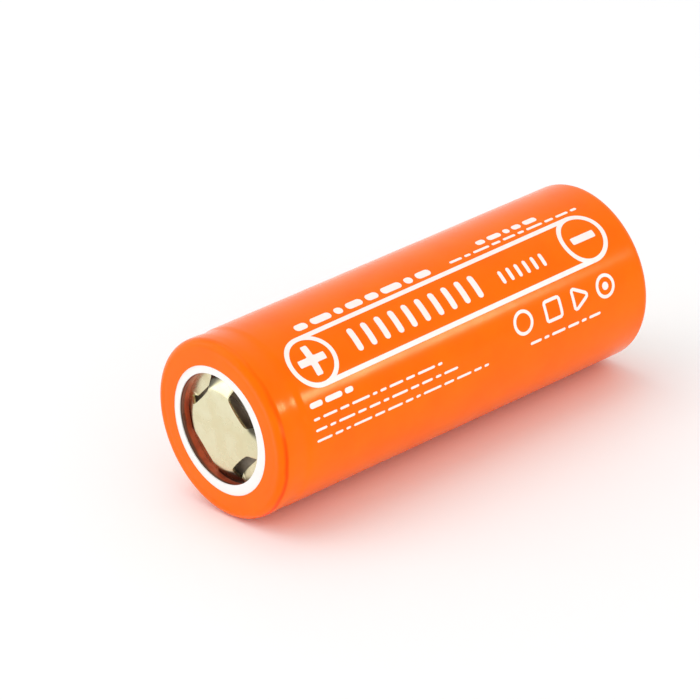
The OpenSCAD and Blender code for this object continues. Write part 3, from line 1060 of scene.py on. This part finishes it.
@dataclass
class FilmPrint(SubAssembly):
    """White ink on the film: a capsule with a plus and a minus, level bars, ruled dashes and signs.

    Places are (s, w): s is the distance from the positive end along the cell, and w the distance
    round the film from its top towards -Y.

    Attributes:
        ink: how far the ink stands proud of the film.
        root: how deep the ink's underside is sunk in the film.
        plus: place of the plus sign's ring.
        minus: place of the minus sign's ring.
        ring: radius of both rings, to the middle of the stroke.
        stroke: width of the strokes.
        thin_stroke: width of the strokes of the four plain signs.
        signs_w: place of those signs round the film.
        least_dash: room that a row needs for one more dash, in millimetres.
        bars: the two groups of level bars.
        dashes: the rows of dashes.
        step: largest distance between points along a stroke.
    """

    ink: float = 0.012 * MM
    root: float = 0.05 * MM
    plus: tuple[float, float] = (10.1 * MM, 9.52 * MM)
    minus: tuple[float, float] = (62.15 * MM, 9.02 * MM)
    ring: float = 3.7 * MM
    stroke: float = 0.72 * MM
    thin_stroke: float = 0.5 * MM
    signs_w: float = 16.73 * MM
    least_dash: float = 0.8
    bars: tuple[BarGroup, ...] = (
        BarGroup(18.2, 2.52, 10, 1.0, 3.7, 0.45),
        BarGroup(45.75, 1.58, 6, 0.62, 2.1, 0.28, shift=0.35),
    )
    dashes: tuple[DashRow, ...] = (
        DashRow(11.3, 36.5, 4.07, 1.25, (2.2, 3.6, 1.4, 2.9), 0.75),
        DashRow(46.6, 58.5, 2.83, 0.95, (1.6, 2.5, 1.1), 0.6),
        DashRow(40.2, 65.4, 4.16, 0.42, (2.4, 1.2, 3.1, 1.7)),
        DashRow(6.3, 14.4, 15.3, 0.8, (2.3, 3.1, 1.5)),
        DashRow(6.3, 31.2, 17.25, 0.36, (1.2, 2.6, 1.7, 3.3, 0.9)),
        DashRow(6.3, 32.8, 18.8, 0.36, (2.1, 1.1, 3.0, 1.6)),
        DashRow(6.3, 39.7, 20.35, 0.36, (2.8, 1.5, 0.9, 3.4, 1.9)),
        DashRow(46.6, 60.5, 20.2, 0.42, (2.2, 1.0, 2.7)),
    )
    step: float = 0.3 * MM

    def finish(self) -> Finish:
        """White ink, thin enough for the film to tint it."""
        return Finish(
            "white_ink", written(255, 247, 242), written(254, 240, 232), roughness=0.42, spread=0.08,
            cloud=900.0, grain=6000.0, grain_height=0.001 * MM, speck=0.06,
            speck_colour=written(252, 180, 130),
        )

    def wrapped(self, flat: Array, height: float) -> Array:
        """Lays flat (s, w) points on the film: the turn is w divided by the radius.

        Args:
            flat: points, with s and w in the last dimension.
            height: height over the film.

        Returns:
            Points in the row frame.
        """
        turn = flat[..., 1] / self.axis.radius
        return self.axis.place(self.axis.positive_x + flat[..., 0], self.axis.radius + height, turn)

    def line(self, path: Array, width: float, coats: float = 1.0) -> Shell:
        """A closed stroke: two edges offset by half the width along the path's normals.

        Args:
            path: closed path, without repeating the first point.
            width: width of the stroke.
            coats: height of the ink, in coats.

        Returns:
            The stroke as a closed ring with a rectangular section.
        """
        along = np.roll(path, -1, 0) - np.roll(path, 1, 0)
        along /= np.linalg.norm(along, axis=1, keepdims=True)
        normal = np.stack([-along[:, 1], along[:, 0]], -1) * (width / 2)
        top = self.ink * coats
        corners = ((-1, -self.root), (-1, top), (0, top), (1, top), (1, -self.root))
        return Shell.grid(np.stack([self.wrapped(path + side * normal, height) for side, height in corners]))

    def patch(self, outline: Array, rows: int = 6) -> Shell:
        """A filled shape: rings shrink from the outline to its middle, above and below.

        Args:
            outline: closed outline round its own middle, without repeating the first point.
            rows: rings from the middle to the outline.

        Returns:
            The shape as a closed cushion with flat faces.
        """
        edge = spaced(outline, self.step)
        middle = edge.mean(0)
        share = np.linspace(0, 1, rows + 1)[:, None, None]
        rings = middle + (edge - middle) * share
        top = self.wrapped(rings, self.ink)
        bottom = self.wrapped(rings[::-1], -self.root)
        return Shell.grid(np.concatenate([top, bottom]), close_columns=False)

    def bar(self, centre: Sequence[float], length: float, height: float, corner: float) -> Array:
        """Outline of a rounded bar.

        Args:
            centre: (s, w) of its middle.
            length: size along the cell.
            height: size round the cell.
            corner: radius of its corners.

        Returns:
            The outline.
        """
        a = length / 2
        b = height / 2
        corners = [(-a, -b, corner), (a, -b, corner), (a, b, corner), (-a, b, corner)]
        return rounded(corners) + np.asarray(centre)

    def cross(self, centre: Sequence[float], reach: float, width: float, corner: float) -> Array:
        """Outline of a plus sign.

        Args:
            centre: (s, w) of its middle.
            reach: length of each arm from the middle.
            width: width of the arms.
            corner: radius of its corners.

        Returns:
            The outline.
        """
        h = width / 2
        tips = [(reach, -h), (reach, h), (h, h), (h, reach)]
        tips += [(-h, reach), (-h, h), (-reach, h), (-reach, -h)]
        tips += [(-h, -h), (-h, -reach), (h, -reach), (h, -h)]
        return rounded([(*tip, corner) for tip in tips], 2) + np.asarray(centre)

    def circle(self, centre: Sequence[float], radius: float, sides: int = 72) -> Array:
        """A circle, or a regular outline with fewer sides."""
        turn = even_turns(sides)[:, None]
        return np.hstack([np.cos(turn), np.sin(turn)]) * radius + np.asarray(centre)

    def capsule(self) -> Shell:
        """The capsule, its two rings, and the signs in them.

        Returns:
            The layer of ink.
        """
        half = np.linspace(math.pi / 2, 3 * math.pi / 2, 40)[:, None]
        belt = np.hstack([np.cos(half), np.sin(half)]) * self.ring
        around = np.vstack([self.plus + belt, self.minus - belt])
        shapes = [self.line(spaced(around, self.step), self.stroke)]
        for centre in (self.plus, self.minus):
            ring = self.circle(centre, self.ring, sides=96)
            shapes.append(self.line(ring, width=self.stroke * 0.98, coats=0.6))
        cross = self.cross(self.plus, reach=2.35 * MM, width=1.12 * MM, corner=0.06 * MM)
        shapes.append(self.patch(cross, rows=8))
        shapes.append(self.patch(self.bar(self.minus, length=4.4 * MM, height=1.1 * MM, corner=0.08 * MM)))
        return Shell.joined(shapes)

    def level_bars(self) -> Shell:
        """Two groups of upright bars in the capsule, the second one smaller.

        Returns:
            The layer of ink.
        """
        middle = (self.plus[1] + self.minus[1]) / 2
        shapes = []
        for group in self.bars:
            for s in group.start * MM + group.pitch * MM * np.arange(group.count):
                centre = (s, middle + group.shift * MM)
                outline = self.bar(centre, group.width * MM, group.height * MM, group.corner * MM)
                shapes.append(self.patch(outline))
        return Shell.joined(shapes)

    def ruled_dashes(self) -> Shell:
        """Rows of dashes, each with its own lengths taken in turn from one short list.

        Returns:
            The layer of ink.
        """
        shapes = []
        for row in self.dashes:
            at = row.start
            pick = 0
            while at + self.least_dash < row.end:
                length = min(row.lengths[pick % len(row.lengths)], row.end - at)
                centre = ((at + length / 2) * MM, row.w * MM)
                outline = self.bar(centre, length * MM, row.height * MM, 0.45 * row.height * MM)
                shapes.append(self.patch(outline, rows=3))
                at += length + row.gap
                pick += 1
        return Shell.joined(shapes)

    def signs(self) -> Shell:
        """Four plain signs: a ring, a square, a triangle and a dot in a ring.

        Returns:
            The layer of ink.
        """
        ring, square, triangle, target = [(s * MM, self.signs_w) for s in (45.95, 51.8, 56.8, 62.15)]
        soft = 0.35 * MM
        tips = np.hstack([self.circle(triangle, 2.0 * MM, sides=3), np.full((3, 1), soft)])
        outlines = [
            self.circle(ring, 1.6 * MM),
            spaced(self.bar(square, 2.9 * MM, 2.9 * MM, soft), self.step),
            spaced(rounded(tips, 4), self.step),
            self.circle(target, 1.55 * MM),
        ]
        shapes = [self.line(outline, self.thin_stroke) for outline in outlines]
        return Shell.joined([*shapes, self.patch(self.circle(target, 0.6 * MM, sides=36), rows=2)])

    def build(self) -> None:
        """Builds the four layers of ink."""
        layers = {
            "print_capsule": self.capsule(),
            "print_level_bars": self.level_bars(),
            "print_ruled_dashes": self.ruled_dashes(),
            "print_signs": self.signs(),
        }
        for name, shell in layers.items():
            self.dress(make_piece(name, shell), self.finish())


@dataclass
class PositiveEnd(SubAssembly):
    """What shows in the film's opening at the positive end: washer, gasket and pressed cap.

    Attributes:
        washer_x: x of the washer's outer face.
        washer_t: thickness of the washer.
        washer_r: outer radius of the washer.
        washer_hole_r: radius of its hole.
        washer_shift: how far it lies off centre, along Y and Z.
        cap_top_x: x of the cap's plate.
        flange_x: x of the flange's outer face.
        cap_t: thickness of the cap's sheet.
        plate_r: radius where the plate bends down.
        foot_r: radius where a leg meets the flange.
        flange_r: outer radius of the flange.
        plate_shift: how far the plate was pressed off centre, along Y and Z.
        windows: number of windows.
        first_window: turn of the first window's middle, in degrees.
        window_columns: columns of points over a window.
        leg_columns: columns over a leg.
        leg_rows: rows from a window's inner edge to its outer one.
        columns: segments of the washer and the gasket.
        window_w: half angle of a window, in degrees.
        window_inner: distance of a window's inner edge from the axis.
        window_outer: distance of its outer edge from the axis.
        window_corner: radius of its inner corners.
        window_bulge: how far a window's inner edge leaves its chord at the sides.
        notch_r: radius to which a window's ends reach along the legs.
        notch_w: width of those ends, in degrees.
        plate_soft: softness of the bend at the plate.
        foot_soft: softness of the bend at the flange.
        edge_soft: width taken off the sheet's edges.
        edge_angle: edges that turn by more than this many degrees are softened.
        painted_shade_w: width of the painted shade on a leg at the plate.
        painted_shade_growth: what it gains from the plate to the leg's foot.
        painted_shade_end: where the painted shade ends, with the leg from plate to foot as 1.
        painted_shade_share: share of the painted shade's colour where it is full.
    """

    washer_x: float = -35.1 * MM
    washer_t: float = 0.2 * MM
    washer_r: float = 11.4 * MM
    washer_hole_r: float = 8.15 * MM
    washer_shift: tuple[float, float] = (0.276 * MM, 0.117 * MM)
    cap_top_x: float = -35.0 * MM
    flange_x: float = -33.5 * MM
    cap_t: float = 0.4 * MM
    plate_r: float = 5.85 * MM
    foot_r: float = 7.9 * MM
    flange_r: float = 11.95 * MM
    plate_shift: tuple[float, float] = (0.17 * MM, -0.06 * MM)
    windows: int = 4
    first_window: float = 46.0
    window_columns: int = 35
    leg_columns: int = 15
    leg_rows: int = 14
    columns: int = 160
    window_w: float = 24.5
    window_inner: float = 5.12 * MM
    window_outer: float = 6.18 * MM
    window_corner: float = 0.35 * MM
    window_bulge: float = 0.13 * MM
    notch_r: float = 7.45 * MM
    notch_w: float = 3.5
    plate_soft: float = 0.36 * MM
    foot_soft: float = 0.18 * MM
    edge_soft: float = 0.035 * MM
    edge_angle: float = 50.0
    painted_shade_w: float = 0.1 * MM
    painted_shade_growth: float = 5.0 * MM
    painted_shade_end: float = 1.5
    painted_shade_share: float = 0.9

    def washer(self) -> None:
        """A flat ring with slightly worn edges, laid off centre."""
        soft = 0.05 * MM
        inside = self.washer_x + self.washer_t
        corners = [
            (self.washer_x, self.washer_hole_r, soft),
            (self.washer_x, self.washer_r, soft),
            (inside, self.washer_r, soft),
            (inside, self.washer_hole_r, soft),
        ]
        shell = revolved(self.axis, rounded(corners, 3), self.columns)
        shell.points[:, 1] += self.washer_shift[0]
        shell.points[:, 2] += self.washer_shift[1]
        piece = make_piece("fibre_washer", shell)
        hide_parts("insulating_washer")
        finish = FibreFinish(
            "white_fibre", written(253, 252, 250), written(250, 248, 245), roughness=0.7, cloud=700.0,
            grain=9000.0, grain_height=0.003 * MM,
        )
        self.dress(piece, finish)

    def gasket(self) -> None:
        """The moulded C section that grips the cap's rim, with rounded edges where it shows."""
        low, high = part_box("seal_gasket")
        back = (high.z - low.z) / 2
        rim_x = low.x
        floor_x = high.x
        lip_x = rim_x + 0.15 * MM
        hole = 8.25 * MM
        crimp = 8.55 * MM
        pocket = 12.0 * MM
        foot = 10.9 * MM
        foot_x = floor_x - 0.3 * MM
        corners = [
            (rim_x, hole, 0.06 * MM),
            (rim_x, crimp, 0.05 * MM),
            (lip_x, crimp, 0.02 * MM),
            (lip_x, back, 0.75 * MM),
            (floor_x, back, 0.25 * MM),
            (floor_x, foot, 0.08 * MM),
            (foot_x, foot, 0.05 * MM),
            (foot_x, pocket, 0.02 * MM),
            (self.flange_x, pocket, 0.02 * MM),
            (self.flange_x, hole, 0.02 * MM),
        ]
        shell = revolved(self.axis, rounded(corners, 4), self.columns)
        piece = make_piece("sealing_gasket", shell)
        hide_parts("seal_gasket")
        # dark band at the rim: painted shade under the washer's inner edge
        finish = ShadeBandFinish(
            "gasket_plastic", written(222, 96, 54), written(170, 60, 30), roughness=0.3, spread=0.1,
            cloud=420.0, grain=3500.0, grain_height=0.0015 * MM, swell=0.02 * MM, band_x=rim_x,
            band_core=0.25 * MM, band_w=0.52 * MM, band_share=0.95, band_top=0.1, band_waver=0.12 * MM,
            band_shade_colour=written(108, 72, 54),
        )
        self.dress(piece, finish)

    def window_edges(self, turn: Array) -> tuple[Array, Array, Array]:
        """Inner and outer radius of the windows' band at each turn from a window's middle.

        Both edges are nearly straight: their distance from the axis is a chord's, over the turn's
        cosine. The inner one bulges slightly and closes in along a quarter circle near the side,
        which rounds its corners. At both ends the outer one runs out along the leg by a smooth
        step. Over a leg both edges stay where the side left them.

        Args:
            turn: turns from the nearest window's middle, in radians.

        Returns:
            The two radii, and 1 over a leg that falls to 0 over the window's end.
        """
        half = math.radians(self.window_w)
        t = np.minimum(np.abs(turn), half)
        inner = (self.window_inner + self.window_bulge * (t / half) ** 2) / np.cos(t)
        gap = np.clip((half - t) * self.plate_r, 0, self.window_corner)
        close = self.window_corner - np.sqrt(self.window_corner**2 - (self.window_corner - gap) ** 2)
        share = smooth_step(np.clip(1 - (half - t) / math.radians(self.notch_w), 0, 1))
        chord = self.window_outer / np.cos(t)
        return inner + close, chord + (self.notch_r - chord) * share, share**2

    def sheet_height(self, r: Array) -> Array:
        """Height of the sheet over the flange from the plate down a leg, with soft bends.

        A soft bend between two lines is their mean less (or plus) half the root of their squared
        difference and the squared softness.

        Args:
            r: distances from the axis.

        Returns:
            The heights.
        """
        rise = self.flange_x - self.cap_top_x
        slope = rise * (1 - (r - self.plate_r) / (self.foot_r - self.plate_r))
        upper = (rise + slope - np.sqrt((rise - slope) ** 2 + self.plate_soft**2)) / 2
        return (upper + np.sqrt(upper**2 + self.foot_soft**2)) / 2

    def painted_shade(self, past_side: Array, r: Array, turn: Array) -> Array:
        """How dark the painted shade makes each leg along the side that follows a window.

        The painted shade is full along the side and then fades out by a smooth step. Its width
        grows from the plate outwards, and is greater on the legs underneath, which catch less
        light. It ends where the leg has run out on the flange.

        Args:
            past_side: turn of each column past that side, in radians.
            r: distances from the axis.
            turn: turns from straight up towards -Y, in radians.

        Returns:
            Values from 0 to 1.
        """
        outward = np.clip((r - self.plate_r) / (self.foot_r - self.plate_r), 0, self.painted_shade_end)
        width = self.painted_shade_w + self.painted_shade_growth * outward * (1 + 2 * np.clip(-np.cos(turn), 0, 1))
        share = np.clip(1.5 * (1 - np.abs(past_side) * r / width), 0, 1)
        fade = np.clip(outward * 5, 0, 1) * np.clip((self.painted_shade_end - outward) * 3, 0, 1)
        return self.painted_shade_share * smooth_step(share) * fade * (past_side > -0.01)

    def cap(self) -> None:
        """One sheet from the plate down the legs to the flange, with the windows left open.

        Rows of points run from the middle to the windows' inner edge, down the legs to their outer
        edge, and over the flange. Past the windows' outer edge the sheet is flat. Each point moves
        by the plate's shift times its height over the flange.
        """
        half = math.radians(self.window_w)
        pitch = FULL_TURN / self.windows
        across = np.sin(np.linspace(-0.5, 0.5, self.window_columns) * math.pi) * half
        leg = np.linspace(half, pitch - half, self.leg_columns)[1:-1]
        local = np.concatenate([across, leg])
        nearest = np.where(local > pitch / 2, local - pitch, local)
        inner, outer, on_leg = self.window_edges(nearest)
        to_inner = np.array([0, 0.3, 0.5, 0.65, 0.76, 0.84, 0.89, 0.92, 0.94, 0.96, 0.98, 1.0])[:, None]
        band = np.linspace(0, 1, self.leg_rows)[1:-1, None]
        beyond = np.array([0, 0.02, 0.045, 0.075, 0.12, 0.2, 0.45, 1.0])[:, None]
        down = np.vstack([inner * to_inner, inner + (outer - inner) * band])
        flat = outer + (self.flange_r - outer) * beyond
        height = np.vstack([self.sheet_height(down), self.sheet_height(flat) * on_leg])
        starts = math.radians(self.first_window) + pitch * np.arange(self.windows)
        turn = (starts[:, None] + local).reshape(1, -1)
        r = np.tile(np.vstack([down, flat]), self.windows)
        height = np.tile(height, self.windows)
        points = self.axis.place(self.flange_x - height, r, turn)
        points[..., 1:] += height[..., None] / (self.flange_x - self.cap_top_x) * self.plate_shift
        shell = Shell.grid(points, close_columns=False)
        rows = np.arange(len(r) - 1)[:, None]
        open_rows = (rows >= len(to_inner) - 1) & (rows < len(to_inner) + len(band))
        open_columns = np.tile(np.arange(len(local)) < len(across) - 1, self.windows)[None, :]
        sheet = shell.kept(~(open_rows & open_columns))
        # painted shade on the legs, kept as a mark that the material reads
        marks = {CapFinish.mark: self.painted_shade(np.tile(local, self.windows) - half, r, turn)}
        piece = make_piece("pressed_cap", sheet, smooth_angle=60.0, marks=marks)
        self.thicken(piece)
        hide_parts("positive_cap")
        finish = CapFinish(
            "cap_nickel", written(226, 221, 187), written(218, 209, 170), metallic=1.0, roughness=0.27,
            spread=0.08, cloud=420.0, grain=5200.0, grain_height=0.0007 * MM, swell=0.006 * MM,
            scratch=0.5, axis_height=self.axis.height, rings=900.0, ring_height=0.0003 * MM,
        )
        self.dress(piece, finish)

    def thicken(self, piece: bpy.types.Object) -> None:
        """Gives the open sheet its thickness inwards, and takes the sharpness off its edges.

        Args:
            piece: the sheet, whose faces look outwards.
        """
        facing = np.zeros(len(piece.data.polygons) * 3)
        piece.data.polygons.foreach_get("normal", facing)
        if facing[0::3].sum() > 0:
            piece.data.flip_normals()
        solid = piece.modifiers.new("sheet", "SOLIDIFY")
        solid.thickness = self.cap_t
        solid.offset = -1.0
        solid.use_even_offset = True
        edge = piece.modifiers.new("edge", "BEVEL")
        edge.width = self.edge_soft
        edge.segments = 2
        edge.limit_method = "ANGLE"
        edge.angle_limit = math.radians(self.edge_angle)

    def build(self) -> None:
        """Builds the three pieces."""
        self.washer()
        self.gasket()
        self.cap()


@dataclass
class CadDress(SubAssembly):
    """Finishes of the CAD parts that are shown as they are.

    Attributes:
        nodes: the CAD nodes' objects by name.
    """

    nodes: dict[str, bpy.types.Object] = field(default_factory=dict)

    def finishes(self) -> dict[tuple[str, ...], Finish]:
        """The finishes of the CAD nodes.

        Returns:
            The finish of each group of nodes.
        """
        bare = {"metallic": 1.0}
        drawn = {"axis_height": self.axis.height, "cloud": 500.0, "scratch": 0.3}
        rolled = bare | {"stretch": (0.1, 1.0, 1.0), "swell": 0.01 * MM}
        strip = bare | {"stretch": (0.15, 1.0, 1.0), "scratch": 0.4}
        smooth = {"grain_height": 0.001 * MM}
        tape = smooth | {"coat": 0.3}
        steel = bare | {"axis_height": self.axis.height, "cloud": 150.0, "scratch": 0.35, "speck": 0.03}
        steel |= {"spread": 0.08, "grain": 4200.0, "swell": 0.008 * MM}
        steel |= {"speck_colour": written(150, 146, 136)}
        phosphate = {"speck": 0.2, "speck_colour": written(90, 90, 92)}
        graphite = {"metallic": 0.2, "speck": 0.25, "speck_colour": written(80, 80, 84)}
        # Kind, name, light, dark, roughness, the finish's other values, and the nodes that have it
        table = (
            (DrawnFinish, "nickel_steel", (237, 234, 220), (231, 227, 209), 0.36, steel, "can"),
            # the vent's grey-brown, darker than bare aluminium, is painted shade for the dim inside of the
            # cap
            (DrawnFinish, "vent_aluminium", (212, 198, 180), (158, 145, 128), 0.55,
             drawn | {"metallic": 0.25}, "vent_disc"),
            (Finish, "ring_plastic", (232, 230, 220), (222, 219, 207), 0.45,
             {"grain_height": 0.0015 * MM}, "interrupter_ring"),
            (DrawnFinish, "plate_aluminium", (200, 202, 205), (184, 186, 190), 0.4,
             drawn | bare, "contact_plate"),
            (Finish, "tab_aluminium", (212, 214, 216), (196, 198, 201), 0.38, strip, "cathode_tab"),
            (Finish, "polyimide_tape", (214, 150, 52), (196, 130, 38), 0.25, tape,
             "cathode_tab_tape", "anode_tab_tape"),
            (FibreFinish, "insulator_plastic", (224, 226, 222), (210, 213, 208), 0.55, {},
             "top_insulator", "bottom_insulator"),
            (Finish, "separator_film", (245, 245, 242), (236, 236, 232), 0.4,
             smooth | {"stretch": (0.3, 1.0, 1.0)}, "separator_inner", "separator_outer"),
            (Finish, "iron_phosphate_coating", (62, 62, 64), (48, 48, 50), 0.85, phosphate,
             "cathode_coating_inner", "cathode_coating_outer"),
            (Finish, "aluminium_foil", (216, 218, 220), (202, 204, 207), 0.25, rolled, "cathode_foil"),
            (Finish, "graphite_coating", (44, 44, 47), (34, 34, 37), 0.7, graphite,
             "anode_coating_inner", "anode_coating_outer"),
            (Finish, "copper_foil", (216, 136, 98), (200, 118, 82), 0.28, rolled, "anode_foil"),
            (Finish, "winding_tape", (196, 206, 120), (178, 190, 104), 0.3, tape, "winding_tape"),
            (Finish, "tab_nickel", (214, 210, 198), (200, 196, 184), 0.33, strip, "anode_tab"),
        )
        return {
            tuple(nodes): kind(name, written(*light), written(*dark), roughness=roughness, **more)
            for kind, name, light, dark, roughness, more, *nodes in table
        }

    def build(self) -> None:
        """Dresses every CAD node that stays."""
        for names, finish in self.finishes().items():
            for name in names:
                self.dress(self.nodes[name], finish)
                LOG.info("%s: %s", name, finish.name)


# Floor, light and camera


@dataclass(frozen=True)
class Lamp:
    """A soft box that looks at the cell.

    Attributes:
        name: name of the lamp.
        at: place of the lamp.
        size: its width and height.
        power: its power in watts.
        lights: lights matt surfaces too, besides showing in the glossy ones.
    """

    name: str
    at: tuple[float, float, float]
    size: tuple[float, float]
    power: float
    lights: bool = True

    def build(self) -> None:
        """Sets the lamp up."""
        data = bpy.data.lights.new(self.name, "AREA")
        data.shape = "RECTANGLE"
        data.size, data.size_y = self.size
        data.energy = self.power
        lamp = shown(self.name, data)
        lamp.visible_diffuse = self.lights
        lamp.location = self.at
        lamp.rotation_euler = (-Vector(self.at)).to_track_quat("-Z", "Y").to_euler()


@dataclass
class Studio:
    """A white floor, a soft white surrounding, soft lamps and the camera.

    Attributes:
        floor_reach: half size of the floor.
        floor_drop: how far the floor lies under the cell, so that the two faces don't coincide.
        floor_rough: roughness of the floor.
        surround: strength of the white surrounding as a light.
        lamps: the soft boxes.
        camera_at: place of the camera.
        yaw: turn of the camera about Z, in degrees.
        pitch: how far it looks down, in degrees.
        roll: turn about its own line of sight, in degrees.
        lens: focal length, in millimetres.
        sensor: width of the sensor, in millimetres.
        sees: nearest and furthest distance that the camera sees.
    """

    floor_reach: float = 3.0
    floor_drop: float = 0.02 * MM
    floor_rough: float = 0.6
    surround: float = 0.735
    lamps: tuple[Lamp, ...] = (
        Lamp("overhead", (-0.1, 0.25, 0.8), (0.7, 0.7), 1.8),
        Lamp("key", (-0.58, 0.53, 0.36), (0.65, 0.65), 1.42),
        Lamp("side", (0.387, -0.498, 0.278), (0.085, 0.085), 0.78, lights=False),
        Lamp("low", (-0.12, -0.8, 0.1), (0.8, 0.2), 1.45),
    )
    camera_at: tuple[float, float, float] = (-0.38604, -0.43726, 0.29149)
    yaw: float = -40.638
    pitch: float = 25.5
    roll: float = -3.487
    lens: float = 235.44
    sensor: float = 36.0
    sees: tuple[float, float] = (0.01, 20.0)

    def floor(self) -> None:
        """A plain white floor."""
        reach = self.floor_reach
        line = np.linspace(-reach, reach, 13)
        x, y = np.meshgrid(line, line, indexing="ij")
        points = np.stack([x, y, np.full_like(x, -self.floor_drop)], -1)
        shell = Shell.grid(points, close_rows=False, close_columns=False)
        floor = shown("floor", Shell(shell.points, shell.quads[:, ::-1]).mesh("floor"))
        floor.data.materials.append(self.floor_material())

    def floor_material(self) -> bpy.types.Material:
        """Plain white paper.

        Returns:
            The material.
        """
        made = bpy.data.materials.new("floor")
        made.use_nodes = True
        shader = made.node_tree.nodes["Principled BSDF"]
        shader.inputs["Base Color"].default_value = (*written(255, 255, 255), 1.0)
        shader.inputs["Roughness"].default_value = self.floor_rough
        return made

    def surrounding(self) -> None:
        """A white world: full strength where it is seen, less as a light."""
        world = bpy.data.worlds.new("surround")
        bpy.context.scene.world = world
        world.use_nodes = True
        nodes = Nodes(world.node_tree)
        back = world.node_tree.nodes["Background"]
        path = nodes.add("LightPath")
        seen = nodes.maths("ADD", path.outputs["Is Camera Ray"], path.outputs["Is Glossy Ray"])
        seen = nodes.maths("MINIMUM", nodes.maths("ADD", seen, path.outputs["Is Transmission Ray"]), 1.0)
        back.inputs["Color"].default_value = (1.0, 1.0, 1.0, 1.0)
        strength = nodes.spread(seen, 0.0, 1.0, self.surround, 1.0)
        world.node_tree.links.new(strength, back.inputs["Strength"])

    def camera(self) -> None:
        """The camera: its axes follow from yaw, pitch and roll."""
        a = math.radians(self.yaw)
        e = math.radians(self.pitch)
        k = math.radians(self.roll)
        ahead = np.array([-math.sin(a) * math.cos(e), math.cos(a) * math.cos(e), -math.sin(e)])
        side = np.array([math.cos(a), math.sin(a), 0.0])
        up = np.cross(side, ahead)
        right = side * math.cos(k) + up * math.sin(k)
        top = up * math.cos(k) - side * math.sin(k)
        data = bpy.data.cameras.new("camera")
        data.sensor_width = self.sensor
        data.lens = self.lens
        data.clip_start, data.clip_end = self.sees
        camera = shown("camera", data)
        turn = Matrix(np.stack([right, top, -ahead], -1).tolist())
        camera.matrix_world = Matrix.Translation(self.camera_at) @ turn.to_4x4()
        bpy.context.scene.camera = camera

    def build(self) -> None:
        """Sets up floor, surrounding, lamps and camera."""
        bpy.context.scene.view_settings.view_transform = "Standard"
        self.floor()
        self.surrounding()
        for lamp in self.lamps:
            lamp.build()
        self.camera()


def main() -> None:
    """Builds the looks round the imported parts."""
    logging.basicConfig(level=logging.INFO, format="%(name)s %(message)s")
    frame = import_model()
    axis = Axis.measured("shrink_sleeve")
    effects = EffectLibrary()
    ShrinkFilm(axis, effects).build()
    FilmPrint(axis, effects).build()
    PositiveEnd(axis, effects).build()
    CadDress(axis, effects, nodes=frame["nodes"]).build()
    Studio().build()
    bpy.context.view_layer.update()


if __name__ == "__main__":
    main()
